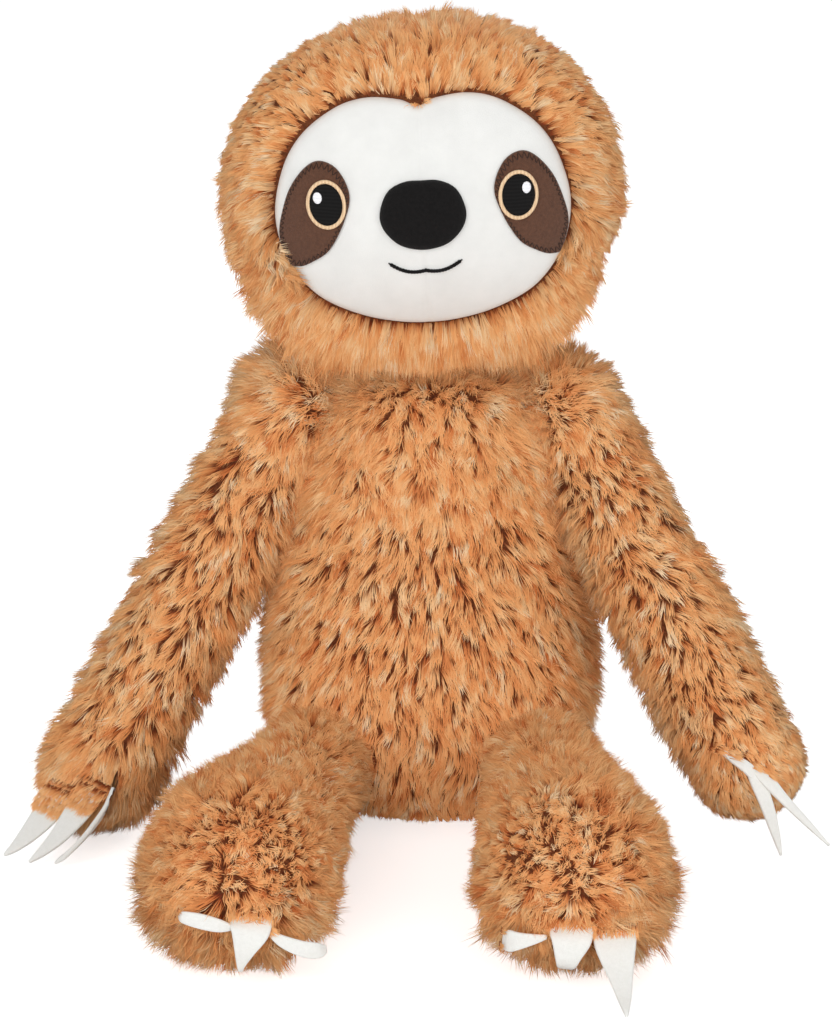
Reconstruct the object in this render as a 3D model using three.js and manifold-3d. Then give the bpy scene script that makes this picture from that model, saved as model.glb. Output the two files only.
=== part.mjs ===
// A plush sloth that sits with its legs out in front, its long arms hanging down and felt claws on
// its hands and feet. Millimetres, +Z up. It faces -Y, so its own left side is at +X.
// The origin is the centre of the flat seat that it sits on.

import * as THREE from 'three';
import { mergeVertices } from 'three/addons/utils/BufferGeometryUtils.js';
import Module from 'manifold-3d';

const wasm = await Module();
wasm.setup();

// Cloth, and the room between pieces
const cover_thick = 8;
const face_thick = 4;
const felt_thick = 2.6;
const patch_thick = 1.2;
const thread_thick = 0.9;
const seam_gap = 0.3;
const joint_gap = 0.6;
const sweep_room = 2.5;

// Body, measured on its stuffing, which the cover then wraps
const torso_half_width = 80;
const torso_half_depth = 58;
const torso_height = 206;
const torso_fullness_share = 0.42;
const torso_taper_share = 0.28;
const seat_thick = 8;

// Head, measured on its stuffing
const head_half_width = 83;
const head_half_depth = 64;
const head_half_height = 68;
const head_power_share = 2.5;
const muzzle_bulge = 7;
const muzzle_half_width = 34;
const muzzle_half_height = 30;
const muzzle_drop = 12;
const head_roll_degrees = 3;

// Neck, a short round root that turns in the top of the body. It rises above the body's stuffing, and
// the head sits that much above it.
const neck_back = 4;
const neck_rise = 16;
const neck_radius = 16;
const head_seat = 10;

// White face and what is sewn on it, as seen from the front, from the head's centre
const face_half_width = 66;
const face_half_height = 52;
const face_drop = 5;
const face_outline_shares = [
  [0, 0.93], [0.12, 0.985], [0.33, 1.01], [0.53, 0.95], [0.735, 0.785], [0.873, 0.58], [0.96, 0.317],
  [1, 0.03], [0.967, -0.25], [0.873, -0.5], [0.71, -0.72], [0.45, -0.88], [0.2, -0.96], [0, -0.98],
];
const eye_across = 42.5;
const eye_lift = 3;
const ring_half_width = 9;
const ring_half_height = 11;
const ring_band = 1.7;
const glint_across = 46.2;
const glint_lift = 6;
const glint_half_width = 2.1;
const glint_half_height = 2.9;
const patch_half_width = 17;
const patch_half_height = 25;
const patch_across = 48;
const patch_outline_shares = [
  [-0.22, 0.88], [-0.68, 0.72], [-0.95, 0.28], [-0.76, -0.2], [-0.35, -0.7], [0.1, -0.93], [0.49, -1.04],
  [0.85, -0.96], [0.97, -0.48], [0.88, -0.1], [0.62, 0.38], [0.2, 0.75],
];
const nose_half_width = 19;
const nose_half_height = 15.2;
const nose_drop = 2.5;
const nose_thick = 3.6;
const nose_outline_shares = [
  [0, 1], [0.42, 0.97], [0.8, 0.7], [1, 0.1], [0.86, -0.38], [0.5, -0.78], [0.15, -0.97],
];
const mouth_half_width = 16.3;
const mouth_band = 2;
const mouth_drop = 27.5;
const mouth_corner_lift = 4;
const mouth_sag = 1.2;

// Arms, measured on their stuffing
const arm_length = 187;
const arm_root_radius = 18;
const arm_mid_radius = 20.5;
const arm_tip_radius = 20.5;
const shoulder_across = 64;
const shoulder_drop = 15;
const shoulder_tab_tilt_degrees = 65;
const arm_claw_width = 13;
const arm_claw_length = 40;

// Legs, measured on their stuffing
const leg_length = 162;
const leg_root_radius = 16;
const leg_mid_radius = 23;
const leg_tip_radius = 33;
const hip_across = 50;
const hip_front = 36;
const hip_height = 34;
const hip_tab_tilt_degrees = 30;
const leg_claw_width = 17;
const leg_claw_length = 36;

// Claws
const claw_gap = 0.2;
const claw_tip_width = 1.6;
const claw_fan_degrees = 28;

// The round caps of cloth that the head and limbs are sewn to, and how near the pole a cap ends. Each
// tilts, in degrees, from the far side of its limb towards the body.
const tab_thick = 1.5;
const tab_reach_share = 0.9;

// How each limb lies at rest, and how far from there the body leaves it room, in degrees. Its claws
// stand in a level fan that heads outward from straight ahead and dips below level, and each of them
// droops from its root.
const poses = {
  left_arm: {
    swing_degrees: 33, spread_degrees: 25.3, heading_degrees: 15, dip_degrees: 5, droop_degrees: 58,
  },
  right_arm: {
    swing_degrees: 14.7, spread_degrees: 28.6, heading_degrees: 24, dip_degrees: 15, droop_degrees: 15,
  },
  left_leg: {
    swing_degrees: 92.7, spread_degrees: 3.2, heading_degrees: 3.2, dip_degrees: 17, droop_degrees: 24,
  },
  right_leg: {
    swing_degrees: 92.7, spread_degrees: 11, heading_degrees: -5, dip_degrees: 17, droop_degrees: 18,
  },
};
const arm_sweep = { back_degrees: -22, forward_degrees: 82, inward_degrees: -2, outward_degrees: 32 };
const leg_sweep = { back_degrees: -78, forward_degrees: 23, inward_degrees: -9, outward_degrees: 22 };

// Fineness of the forms
const head_detail = 5;
const torso_sides = 20;
const torso_rings = 11;
const limb_sides = 16;
const round_steps = 5;
const cone_sides = 12;
const socket_sides = 20;
const tab_sides = 12;
const ball_rings = 14;
const sweep_sides = 16;
const outline_steps = 4;

const quarter = Math.PI / 2;
const sides = [['left', 1], ['right', -1]];
const origin = new THREE.Vector3();
const neck_place = new THREE.Vector3(0, neck_back, torso_height + neck_rise);
const head_rise = head_half_height + head_seat;
const neck_round = neck_radius + cover_thick;
const socket_room = tab_thick + 2 * joint_gap;
const arm = {
  length: arm_length, root: arm_root_radius, mid: arm_mid_radius, tip: arm_tip_radius,
  across: shoulder_across, front: 0, height: torso_height - shoulder_drop,
  tab_tilt_degrees: shoulder_tab_tilt_degrees,
  claw_width: arm_claw_width, claw_length: arm_claw_length, sweep: arm_sweep,
};
const leg = {
  length: leg_length, root: leg_root_radius, mid: leg_mid_radius, tip: leg_tip_radius,
  across: hip_across, front: hip_front, height: hip_height, tab_tilt_degrees: hip_tab_tilt_degrees,
  claw_width: leg_claw_width, claw_length: leg_claw_length, sweep: leg_sweep,
};

const cloth = (color, roughness) => new THREE.MeshStandardMaterial({ color, roughness, metalness: 0 });
const plush = cloth(0xcd8c55, 0.95);
const wadding = cloth(0xf2efe8, 1);
const backing = cloth(0x9a6238, 0.95);
const white_plush = cloth(0xf0f0ee, 0.9);
const brown_felt = cloth(0x5f3c2a, 0.9);
const tan_thread = cloth(0xebbe8c, 0.6);
const black_felt = cloth(0x191818, 0.85);
const black_thread = cloth(0x1d1b1b, 0.6);
const white_thread = cloth(0xf7f7f7, 0.6);
const white_felt = cloth(0xecece6, 0.9);

const radians = THREE.MathUtils.degToRad;

// A closed solid of a geometry, with its doubled points joined and its empty faces left out.
function solid_of(geometry) {
  geometry.deleteAttribute('normal');
  geometry.deleteAttribute('uv');
  const merged = mergeVertices(geometry);
  const corners = [];
  const index = merged.index.array;
  for (let at = 0; at < index.length; at += 3) {
    const [a, b, c] = [index[at], index[at + 1], index[at + 2]];
    if (a !== b && b !== c && c !== a) corners.push(a, b, c);
  }
  return new wasm.Manifold(new wasm.Mesh({
    numProp: 3,
    vertProperties: new Float32Array(merged.attributes.position.array),
    triVerts: new Uint32Array(corners),
  }));
}

function mesh_of(solid, name, material) {
  const { vertProperties, triVerts } = solid.getMesh();
  const geometry = new THREE.BufferGeometry();
  geometry.setAttribute('position', new THREE.BufferAttribute(new Float32Array(vertProperties), 3));
  geometry.setIndex(new THREE.BufferAttribute(new Uint32Array(triVerts), 1));
  geometry.computeVertexNormals();
  const mesh = new THREE.Mesh(geometry, material);
  mesh.name = name;
  return mesh;
}

// Moves every point of a geometry to where reshape puts it.
function shaped(geometry, reshape) {
  const points = geometry.attributes.position;
  const point = new THREE.Vector3();
  for (let at = 0; at < points.count; at += 1) {
    point.fromBufferAttribute(points, at);
    reshape(point);
    points.setXYZ(at, point.x, point.y, point.z);
  }
  return geometry;
}

// A block that is wide enough to cut any piece, from low to high along one axis.
const far = torso_height + neck_rise + head_rise + head_half_height + arm_length;
function slab(axis, low, high) {
  const size = { x: 2 * far, y: 2 * far, z: 2 * far, [axis]: high - low };
  const middle = { x: 0, y: 0, z: 0, [axis]: (low + high) / 2 };
  const block = new THREE.BoxGeometry(size.x, size.y, size.z);
  return solid_of(block.translate(middle.x, middle.y, middle.z));
}

const ahead = () => slab('y', -far, -seam_gap / 2);
const behind = () => slab('y', seam_gap / 2, far);
const on_side = (side) => (side > 0 ? slab('x', seam_gap / 2, far) : slab('x', -far, -seam_gap / 2));

function ball(radius, place, ball_sides) {
  const sphere = new THREE.SphereGeometry(radius, ball_sides, ball_rings);
  return solid_of(sphere.rotateX(quarter).translate(place.x, place.y, place.z));
}

// The body: a pear with a full belly. grow is how far the surface lies outside the stuffing.
function torso_form(grow) {
  const unit = new THREE.SphereGeometry(1, torso_sides, torso_rings).rotateX(quarter);
  const half_height = torso_height / 2;
  return solid_of(shaped(unit, (point) => {
    const across = Math.hypot(point.x, point.y);
    const full = across > 0 ? across ** (torso_fullness_share - 1) : 0;
    const taper = 1 - torso_taper_share * (1 + point.z) / 2;
    point.x *= full * taper * (torso_half_width + grow);
    point.y *= full * taper * (torso_half_depth + grow);
    point.z = half_height + point.z * (half_height + grow);
  }));
}

// The head about its own centre: a rounded box with a soft muzzle in front.
function head_form(grow) {
  const unit = new THREE.IcosahedronGeometry(1, head_detail);
  return solid_of(shaped(unit, (point) => {
    const sum = Math.abs(point.x / (head_half_width + grow)) ** head_power_share
      + Math.abs(point.y / (head_half_depth + grow)) ** head_power_share
      + Math.abs(point.z / (head_half_height + grow)) ** head_power_share;
    const reach = sum ** (-1 / head_power_share);
    const side = point.x * reach / muzzle_half_width;
    const lift = (point.z * reach + muzzle_drop) / muzzle_half_height;
    const bulge = point.y < 0 ? muzzle_bulge * Math.exp(-side * side - lift * lift) : 0;
    point.multiplyScalar(reach + bulge);
  }));
}

// One limb hanging straight down from its root, which is a ball about the joint.
function limb_geometry(limb, grow) {
  const profile = [];
  for (let step = 0; step <= round_steps; step += 1) {
    const turn = quarter * step / round_steps;
    const radius = limb.root + grow;
    profile.push(new THREE.Vector2(Math.sin(turn) * radius, -Math.cos(turn) * radius));
  }
  profile.push(new THREE.Vector2(limb.mid + grow, limb.length / 2));
  for (let step = 0; step <= round_steps; step += 1) {
    const turn = quarter * step / round_steps;
    const radius = limb.tip + grow;
    profile.push(new THREE.Vector2(Math.cos(turn) * radius, limb.length + Math.sin(turn) * radius));
  }
  return new THREE.LatheGeometry(profile, limb_sides).rotateX(-quarter);
}

// The cap that a round root turns on, round the pole of a ball.
function seam_tab(round) {
  const under = round + joint_gap;
  const block = slab('z', tab_reach_share * round, far);
  const outside = ball(under + tab_thick, origin, tab_sides);
  return outside.subtract(ball(under, origin, tab_sides)).intersect(block);
}

// The room that a limb needs in the body: its socket, all that it passes through as it swings and
// turns, and a cone for it at each limit. lining is the cloth that is left round that room.
function limb_room(limb, side, pose, lining) {
  const place = new THREE.Vector3(side * limb.across, -limb.front, limb.height);
  const root = limb.root + cover_thick + lining + joint_gap;
  const tip = limb.tip + cover_thick + lining + sweep_room;
  const { sweep } = limb;
  const swings = [pose.swing_degrees + sweep.back_degrees, pose.swing_degrees + sweep.forward_degrees];
  const leans = [
    radians(pose.spread_degrees + sweep.inward_degrees),
    radians(pose.spread_degrees + sweep.outward_degrees),
  ];
  const placed = (geometry) => solid_of(geometry.translate(place.x, place.y, place.z));

  // How far across the limb's edge lies, at a reach from the joint, when it leans
  const edge = (lean, hand, reach) => {
    const start = -hand * root * Math.sin(lean);
    const end = limb.length * Math.cos(lean) - hand * tip * Math.sin(lean);
    const along = (reach - start) / (end - start);
    return along * limb.length * Math.sin(lean)
      + hand * THREE.MathUtils.lerp(root, tip, along) * Math.cos(lean);
  };
  const inner = (reach) => new THREE.Vector2(reach, edge(leans[0], -1, reach));
  const outer = (reach) => new THREE.Vector2(reach, edge(leans[1], 1, reach));
  const profile = [inner(0), inner(limb.length), outer(limb.length), outer(0)];
  const disc = new THREE.LatheGeometry(profile, sweep_sides).rotateZ(-quarter);
  if (side < 0) disc.rotateY(2 * quarter);
  const halves = swings.map((swing, at) => {
    const block = new THREE.BoxGeometry(2 * far, far, 2 * far).translate(0, (at - 1 / 2) * far, 0);
    return placed(block.rotateX(-radians(swing)));
  });
  let room = ball(limb.root + cover_thick + lining + socket_room, place, socket_sides);
  room = room.add(placed(disc).intersect(halves[0]).intersect(halves[1]));
  for (const swing of swings) {
    for (const lean of leans) {
      const cone = new THREE.CylinderGeometry(root, tip, limb.length, cone_sides);
      cone.translate(0, -limb.length / 2, 0).rotateX(quarter);
      room = room.add(placed(cone.rotateY(-side * lean).rotateX(-radians(swing))));
    }
  }
  return room;
}

// All the room that the head and limbs need in the body
function rooms(lining) {
  let room = ball(neck_round + socket_room + lining, neck_place, socket_sides);
  for (const [side_name, side] of sides) {
    room = room.add(limb_room(arm, side, poses[`${side_name}_arm`], lining));
    room = room.add(limb_room(leg, side, poses[`${side_name}_leg`], lining));
  }
  return room;
}

// A closed outline from a list of shares: one half that is mirrored, or a whole one.
function outline_of(shares, half_width, half_height, mirrored) {
  const points = shares.map(([x, z]) => new THREE.Vector2(x * half_width, z * half_height));
  if (mirrored) {
    const back = shares.filter(([x]) => x > 0).reverse();
    points.push(...back.map(([x, z]) => new THREE.Vector2(-x * half_width, z * half_height)));
  }
  const corners = points.map((point) => new THREE.Vector3(point.x, point.y, 0));
  const closed = new THREE.CatmullRomCurve3(corners, true);
  return closed.getPoints(points.length * outline_steps / 2).slice(1);
}

function oval(half_width, half_height, across, lift) {
  const shape = new THREE.Shape();
  shape.absellipse(across, lift, half_width, half_height, 0, 2 * Math.PI);
  return shape;
}

// A prism of an outline, from the head's middle out through the face.
function through_face(shape) {
  const depth = head_half_depth + cover_thick + muzzle_bulge + nose_thick;
  const settings = { depth, bevelEnabled: false, curveSegments: 2 * outline_steps };
  return solid_of(new THREE.ExtrudeGeometry(shape, settings).rotateX(quarter));
}

function face_prism(grow) {
  const points = outline_of(face_outline_shares, face_half_width + grow, face_half_height + grow, true);
  const dropped = points.map((point) => new THREE.Vector2(point.x, point.y - face_drop));
  return through_face(new THREE.Shape(dropped));
}

// A layer that lies on the head between two heights above the stuffing, within an outline.
function layer(prism, low, high) {
  return head_form(high).subtract(head_form(low)).intersect(prism);
}

const sloth = new THREE.Group();

// Body: front, back and seat panels round the stuffing, drawn in where the head and limbs are rooted
const above_seat = slab('z', seat_thick + seam_gap, far);
const torso_outside = torso_form(cover_thick).subtract(rooms(0));
const torso_inside = torso_form(0).subtract(rooms(cover_thick));
const torso_wadding = torso_form(-seam_gap).subtract(rooms(cover_thick + seam_gap)).intersect(above_seat);
const torso_cover = torso_outside.subtract(torso_inside).intersect(above_seat);
sloth.add(mesh_of(torso_cover.intersect(ahead()), 'torso_front_panel', plush));
sloth.add(mesh_of(torso_cover.intersect(behind()), 'torso_back_panel', plush));
sloth.add(mesh_of(torso_outside.intersect(slab('z', 0, seat_thick)), 'seat_panel', plush));
sloth.add(mesh_of(torso_wadding, 'torso_stuffing', wadding));

// Neck: the tab, then the head on it
const neck = new THREE.Group();
neck.position.copy(neck_place);
const neck_tab = mesh_of(seam_tab(neck_round), 'neck_seam_tab', backing);
neck_tab.rotation.x = 2 * quarter;
neck.add(neck_tab);
sloth.add(neck);

const head = new THREE.Group();
head.rotation.y = -radians(head_roll_degrees);
neck.add(head);
const head_middle = new THREE.Group();
head_middle.position.set(0, -neck_back, head_rise);
head.add(head_middle);

const root_place = head_middle.position.clone().negate();
const rooted = (grow) => head_form(grow).add(ball(neck_radius + grow, root_place, limb_sides));
const head_cover = rooted(cover_thick).subtract(rooted(0)).subtract(face_prism(seam_gap));
const face = layer(face_prism(0), 0, face_thick);
for (const [side_name, side] of sides) {
  head_middle.add(mesh_of(head_cover.intersect(on_side(side)), `head_panel_${side_name}`, plush));
  head_middle.add(mesh_of(face.intersect(on_side(side)), `face_panel_${side_name}`, white_plush));
}
head_middle.add(mesh_of(rooted(-seam_gap), 'head_stuffing', wadding));

// What is sewn on the face, each layer a seam gap above the one under it
const patch_low = face_thick + seam_gap;
const patch_high = patch_low + patch_thick;
const ring_low = patch_high + seam_gap;
const ring_high = ring_low + thread_thick;
const glint_low = ring_high + seam_gap;
for (const [side_name, side] of sides) {
  const turned = (points) => new THREE.Shape(points.map((point) => (
    new THREE.Vector2(side * (patch_across + point.x), point.y)
  )));
  const patch_points = outline_of(patch_outline_shares, patch_half_width, patch_half_height, false);
  const patch_edge = through_face(turned(patch_points)).intersect(face_prism(-seam_gap));
  const eye = [side * eye_across, eye_lift];
  const inner = [ring_half_width - ring_band, ring_half_height - ring_band];
  const inner_edge = through_face(oval(...inner, ...eye));
  const ring_edge = through_face(oval(ring_half_width, ring_half_height, ...eye)).subtract(inner_edge);
  const pupil_edge = through_face(oval(inner[0] - seam_gap, inner[1] - seam_gap, ...eye));
  const glint_place = [side * glint_across, glint_lift];
  const glint_edge = through_face(oval(glint_half_width, glint_half_height, ...glint_place));
  const glint = layer(glint_edge, glint_low, glint_low + thread_thick);
  const patch = layer(patch_edge, patch_low, patch_high);
  const ring = layer(ring_edge, ring_low, ring_high);
  const pupil = layer(pupil_edge, ring_low, ring_high);
  head_middle.add(mesh_of(patch, `eye_patch_${side_name}`, brown_felt));
  head_middle.add(mesh_of(ring, `eye_ring_${side_name}`, tan_thread));
  head_middle.add(mesh_of(pupil, `pupil_${side_name}`, black_thread));
  head_middle.add(mesh_of(glint, `eye_glint_${side_name}`, white_thread));
}

const nose_points = outline_of(nose_outline_shares, nose_half_width, nose_half_height, true);
const nose_edge = through_face(new THREE.Shape(nose_points.map((point) => (
  new THREE.Vector2(point.x, point.y - nose_drop)
))));
head_middle.add(mesh_of(layer(nose_edge, patch_low, patch_low + nose_thick), 'nose', black_felt));

// The mouth is one band of stitches in two shallow arcs that meet under the nose.
function mouth_shape() {
  const line = (share, offset) => {
    const x = mouth_half_width * share;
    const rise = mouth_corner_lift * share * share;
    const sag = mouth_sag * Math.sin(Math.PI * Math.abs(share));
    return new THREE.Vector2(x, rise - sag - mouth_drop + offset);
  };
  const shares = Array.from({ length: 4 * outline_steps + 1 }, (_, at) => at / (2 * outline_steps) - 1);
  const lower = shares.map((share) => line(share, -mouth_band / 2));
  const upper = shares.map((share) => line(share, mouth_band / 2)).reverse();
  return new THREE.Shape([...lower, ...upper]);
}
const mouth = layer(through_face(mouth_shape()), patch_low, patch_high);
head_middle.add(mesh_of(mouth, 'mouth', black_thread));

// A felt claw pointing down, with a round root edge that it bends on and a narrow tip.
function claw_solid(limb) {
  const half = felt_thick / 2;
  const profile = new THREE.Shape();
  profile.absarc(0, 0, half, 0, Math.PI);
  profile.lineTo(-half, -limb.claw_length);
  profile.lineTo(half, -limb.claw_length);
  const settings = { depth: limb.claw_width, bevelEnabled: false, curveSegments: outline_steps };
  const blank = new THREE.ExtrudeGeometry(profile, settings).translate(0, 0, -limb.claw_width / 2);
  return solid_of(shaped(blank, (point) => {
    const along = Math.max(-point.y / limb.claw_length, 0);
    const narrow = THREE.MathUtils.lerp(1, claw_tip_width / limb.claw_width, along);
    point.set(point.z * narrow, point.x, point.y);
  }));
}

// One limb: the tab that it is sewn to, its two panels round the stuffing, and three claws in a fan
function add_limb(limb, side, pose, names) {
  const root = new THREE.Group();
  root.position.set(side * limb.across, -limb.front, limb.height);
  sloth.add(root);

  const swung = new THREE.Group();
  swung.rotation.x = -radians(pose.swing_degrees);
  root.add(swung);
  const tab = mesh_of(seam_tab(limb.root + cover_thick), names.tab, backing);
  tab.rotation.y = -side * radians(limb.tab_tilt_degrees);
  swung.add(tab);
  const lean = -side * radians(pose.spread_degrees);
  const form = (grow) => solid_of(limb_geometry(limb, grow).rotateY(lean));
  const cover = form(cover_thick).subtract(form(0));
  swung.add(mesh_of(cover.intersect(ahead()), names.front, plush));
  swung.add(mesh_of(cover.intersect(behind()), names.back, plush));
  swung.add(mesh_of(form(-seam_gap), names.stuffing, wadding));

  const tip = new THREE.Group();
  tip.position.set(0, 0, -limb.length).applyEuler(new THREE.Euler(0, lean, 0)).applyEuler(swung.rotation);
  tip.rotation.set(radians(pose.dip_degrees) - quarter, 0, side * radians(pose.heading_degrees), 'ZXY');
  root.add(tip);
  for (const place of [1, 2, 3]) {
    const fan = new THREE.Group();
    fan.rotation.y = -side * radians(claw_fan_degrees) * (place - 2);
    tip.add(fan);
    const claw = mesh_of(claw_solid(limb), `${names.claw}_${place}`, white_felt);
    claw.position.z = -(limb.tip + cover_thick + claw_gap + felt_thick / 2);
    claw.rotation.x = radians(pose.droop_degrees);
    fan.add(claw);
  }
}

for (const [side_name, side] of sides) {
  add_limb(arm, side, poses[`${side_name}_arm`], {
    tab: `${side_name}_shoulder_seam_tab`,
    front: `${side_name}_arm_front_panel`,
    back: `${side_name}_arm_back_panel`,
    stuffing: `${side_name}_arm_stuffing`,
    claw: `${side_name}_hand_claw`,
  });
  add_limb(leg, side, poses[`${side_name}_leg`], {
    tab: `${side_name}_hip_seam_tab`,
    front: `${side_name}_leg_top_panel`,
    back: `${side_name}_leg_sole_panel`,
    stuffing: `${side_name}_leg_stuffing`,
    claw: `${side_name}_foot_claw`,
  });
}

export default sloth;
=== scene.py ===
# %% [markdown]
# # A plush sloth
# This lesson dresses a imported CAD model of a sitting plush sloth. The CAD parts carry the sizes and the
# joints. Here each sewn panel gets its real surface: a woven backing with a shaggy pile, a smooth white
# face, felt patches, embroidered eyes and felt claws. Everything is in metres, in the CAD's own frame.

import bpy
import numpy as np
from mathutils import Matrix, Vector
from mathutils.kdtree import KDTree


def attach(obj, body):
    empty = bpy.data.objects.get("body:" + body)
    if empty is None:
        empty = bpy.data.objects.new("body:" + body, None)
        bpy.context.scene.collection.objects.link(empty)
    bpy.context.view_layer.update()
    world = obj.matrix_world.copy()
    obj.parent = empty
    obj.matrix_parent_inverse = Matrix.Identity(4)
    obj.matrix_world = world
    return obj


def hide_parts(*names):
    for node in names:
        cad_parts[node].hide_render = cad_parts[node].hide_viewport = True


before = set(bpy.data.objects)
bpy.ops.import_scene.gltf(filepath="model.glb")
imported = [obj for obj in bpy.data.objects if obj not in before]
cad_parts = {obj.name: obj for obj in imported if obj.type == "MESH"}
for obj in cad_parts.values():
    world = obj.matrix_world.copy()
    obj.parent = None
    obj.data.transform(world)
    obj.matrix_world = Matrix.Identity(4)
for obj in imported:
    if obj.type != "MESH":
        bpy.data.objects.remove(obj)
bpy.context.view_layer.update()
MM = 0.001

# %% [markdown]
# ## Camera
# The toy was photographed from a little above its middle with a long lens, which keeps the head and the
# feet nearly the same scale. A camera is an object that looks along its own -Z axis, so it is laid back
# by a right angle less the height it looks down from.

# %% Camera
LOOK_AT = np.array([-0.007, 0.0, 0.143])
LOOK_DOWN = np.radians(15.5)
CAMERA_AWAY = 1.7
LENS_MM = 156.5
SENSOR_MM = 36

lens = bpy.data.cameras.new("studio_camera")
lens.sensor_fit = "HORIZONTAL"
lens.sensor_width = SENSOR_MM
lens.lens = LENS_MM
camera = bpy.data.objects.new("studio_camera", lens)
bpy.context.scene.collection.objects.link(camera)
camera.location = LOOK_AT + CAMERA_AWAY * np.array([0, -np.cos(LOOK_DOWN), np.sin(LOOK_DOWN)])
camera.rotation_euler = (np.pi / 2 - LOOK_DOWN, 0, 0)
bpy.context.scene.camera = camera
print("camera at", [round(v, 3) for v in camera.location])

# %% [markdown]
# ## Light
# Pile looks soft when the light is soft: a large lamp above and in front gives the fur its shading, a
# weaker one on the other side opens the shadows, one behind lights the back, and the world fills in from
# all round. The world looks white to the camera, but it lights the toy at a lower level, which the Light
# Path node tells apart.

# %% Lamps
LAMPS = {
    "key_lamp": ((-0.7, -1.75, 1.0), 1.5, 19.5),
    "fill_lamp": ((1.2, -1.6, 0.4), 1.3, 12.0),
    "back_lamp": ((0.2, 1.4, 1.5), 1.2, 8.0),
}
WORLD_LIGHT = 0.43

for name, (place, width, watts) in LAMPS.items():
    lamp = bpy.data.lights.new(name, "AREA")
    lamp.size = width
    lamp.energy = watts
    holder = bpy.data.objects.new(name, lamp)
    holder.location = place
    holder.rotation_euler = (Vector(LOOK_AT) - Vector(place)).to_track_quat("-Z", "Y").to_euler()
    bpy.context.scene.collection.objects.link(holder)


# %% World
def white_to_the_eye(tree):
    """1 for rays that show the background itself, in the camera, a reflection or a glass."""
    light_path = tree.nodes.new("ShaderNodeLightPath")
    seen = light_path.outputs["Is Camera Ray"]
    for ray in ("Is Glossy Ray", "Is Transmission Ray"):
        most = tree.nodes.new("ShaderNodeMath")
        most.operation = "MAXIMUM"
        tree.links.new(seen, most.inputs[0])
        tree.links.new(light_path.outputs[ray], most.inputs[1])
        seen = most.outputs[0]
    return seen


world = bpy.data.worlds.new("white_studio")
world.use_nodes = True
sky = world.node_tree
level = sky.nodes.new("ShaderNodeMapRange")
level.inputs["To Min"].default_value = WORLD_LIGHT
level.inputs["To Max"].default_value = 1.0
sky.links.new(white_to_the_eye(sky), level.inputs["Value"])
sky.nodes["Background"].inputs["Color"].default_value = (1, 1, 1, 1)
sky.links.new(level.outputs["Result"], sky.nodes["Background"].inputs["Strength"])
bpy.context.scene.world = world
bpy.context.scene.view_settings.view_transform = "Standard"
print("lamps:", ", ".join(LAMPS))

# %% [markdown]
# ## Floor
# The floor is plain and pale. It glows a little for the camera only, so that it meets the white
# background without a line, and it still holds the toy's soft shadow.

# %% Floor
FLOOR_HALF = 5.0
FLOOR_GLOW = 0.62


def mesh_piece(name, points, faces, smooth=True):
    """A new mesh object, linked to the scene."""
    mesh = bpy.data.meshes.new(name)
    mesh.from_pydata([tuple(p) for p in np.asarray(points, float)], [], [tuple(f) for f in faces])
    mesh.update()
    mesh.polygons.foreach_set("use_smooth", [smooth] * len(mesh.polygons))
    piece = bpy.data.objects.new(name, mesh)
    bpy.context.scene.collection.objects.link(piece)
    return piece


corners = [(-1, -1), (1, -1), (1, 1), (-1, 1)]
floor = mesh_piece("floor", [(x * FLOOR_HALF, y * FLOOR_HALF, 0) for x, y in corners], [(0, 1, 2, 3)])

paper = bpy.data.materials.new("pale_floor")
paper.use_nodes = True
tree = paper.node_tree
matt = tree.nodes["Principled BSDF"]
for socket, value in (("Base Color", (0.9, 0.9, 0.9, 1)), ("Roughness", 0.9), ("Specular IOR Level", 0.1)):
    matt.inputs[socket].default_value = value
glow = tree.nodes.new("ShaderNodeEmission")
both = tree.nodes.new("ShaderNodeAddShader")
strength = tree.nodes.new("ShaderNodeMath")
strength.operation = "MULTIPLY"
strength.inputs[1].default_value = FLOOR_GLOW
tree.links.new(white_to_the_eye(tree), strength.inputs[0])
tree.links.new(strength.outputs[0], glow.inputs["Strength"])
tree.links.new(matt.outputs[0], both.inputs[0])
tree.links.new(glow.outputs[0], both.inputs[1])
tree.links.new(both.outputs[0], tree.nodes["Material Output"].inputs["Surface"])
floor.data.materials.append(paper)
print("floor side:", 2 * FLOOR_HALF, "m")

# %% [markdown]
# ## Cloth and thread
# Every finish is a node material. A helper starts one and hands back its shader; then each finish adds
# what can be seen up close: the pile's dark roots and pale tips, the knit of the white face, the matted
# fibres of felt, the lie of embroidery thread.


# %% Material helpers
def linear(red, green, blue):
    """A colour given as 0 to 255 on screen, as Blender wants it."""
    share = np.array([red, green, blue]) / 255
    return (*np.where(share <= 0.04045, share / 12.92, ((share + 0.055) / 1.055) ** 2.4), 1.0)


def finish(name, color, roughness, specular=0.3, sheen=0.0, sheen_rough=0.5):
    """A material with its node tree and its shader."""
    material = bpy.data.materials.new(name)
    material.use_nodes = True
    tree = material.node_tree
    shader = tree.nodes["Principled BSDF"]
    shader.inputs["Base Color"].default_value = linear(*color)
    shader.inputs["Roughness"].default_value = roughness
    shader.inputs["Specular IOR Level"].default_value = specular
    shader.inputs["Sheen Weight"].default_value = sheen
    shader.inputs["Sheen Roughness"].default_value = sheen_rough
    return material, tree, shader


def ramp(tree, factor, stops):
    """A colour ramp of (place, colour) stops, driven by a factor."""
    node = tree.nodes.new("ShaderNodeValToRGB")
    band = node.color_ramp
    while len(band.elements) < len(stops):
        band.elements.new(0.5)
    for element, (place, color) in zip(band.elements, stops):
        element.position = place
        element.color = linear(*color)
    tree.links.new(factor, node.inputs["Fac"])
    return node.outputs["Color"]


def color_by(tree, shader, factor, stops):
    """The shader's colour, from a factor through a ramp."""
    tree.links.new(ramp(tree, factor, stops), shader.inputs["Base Color"])


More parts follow.
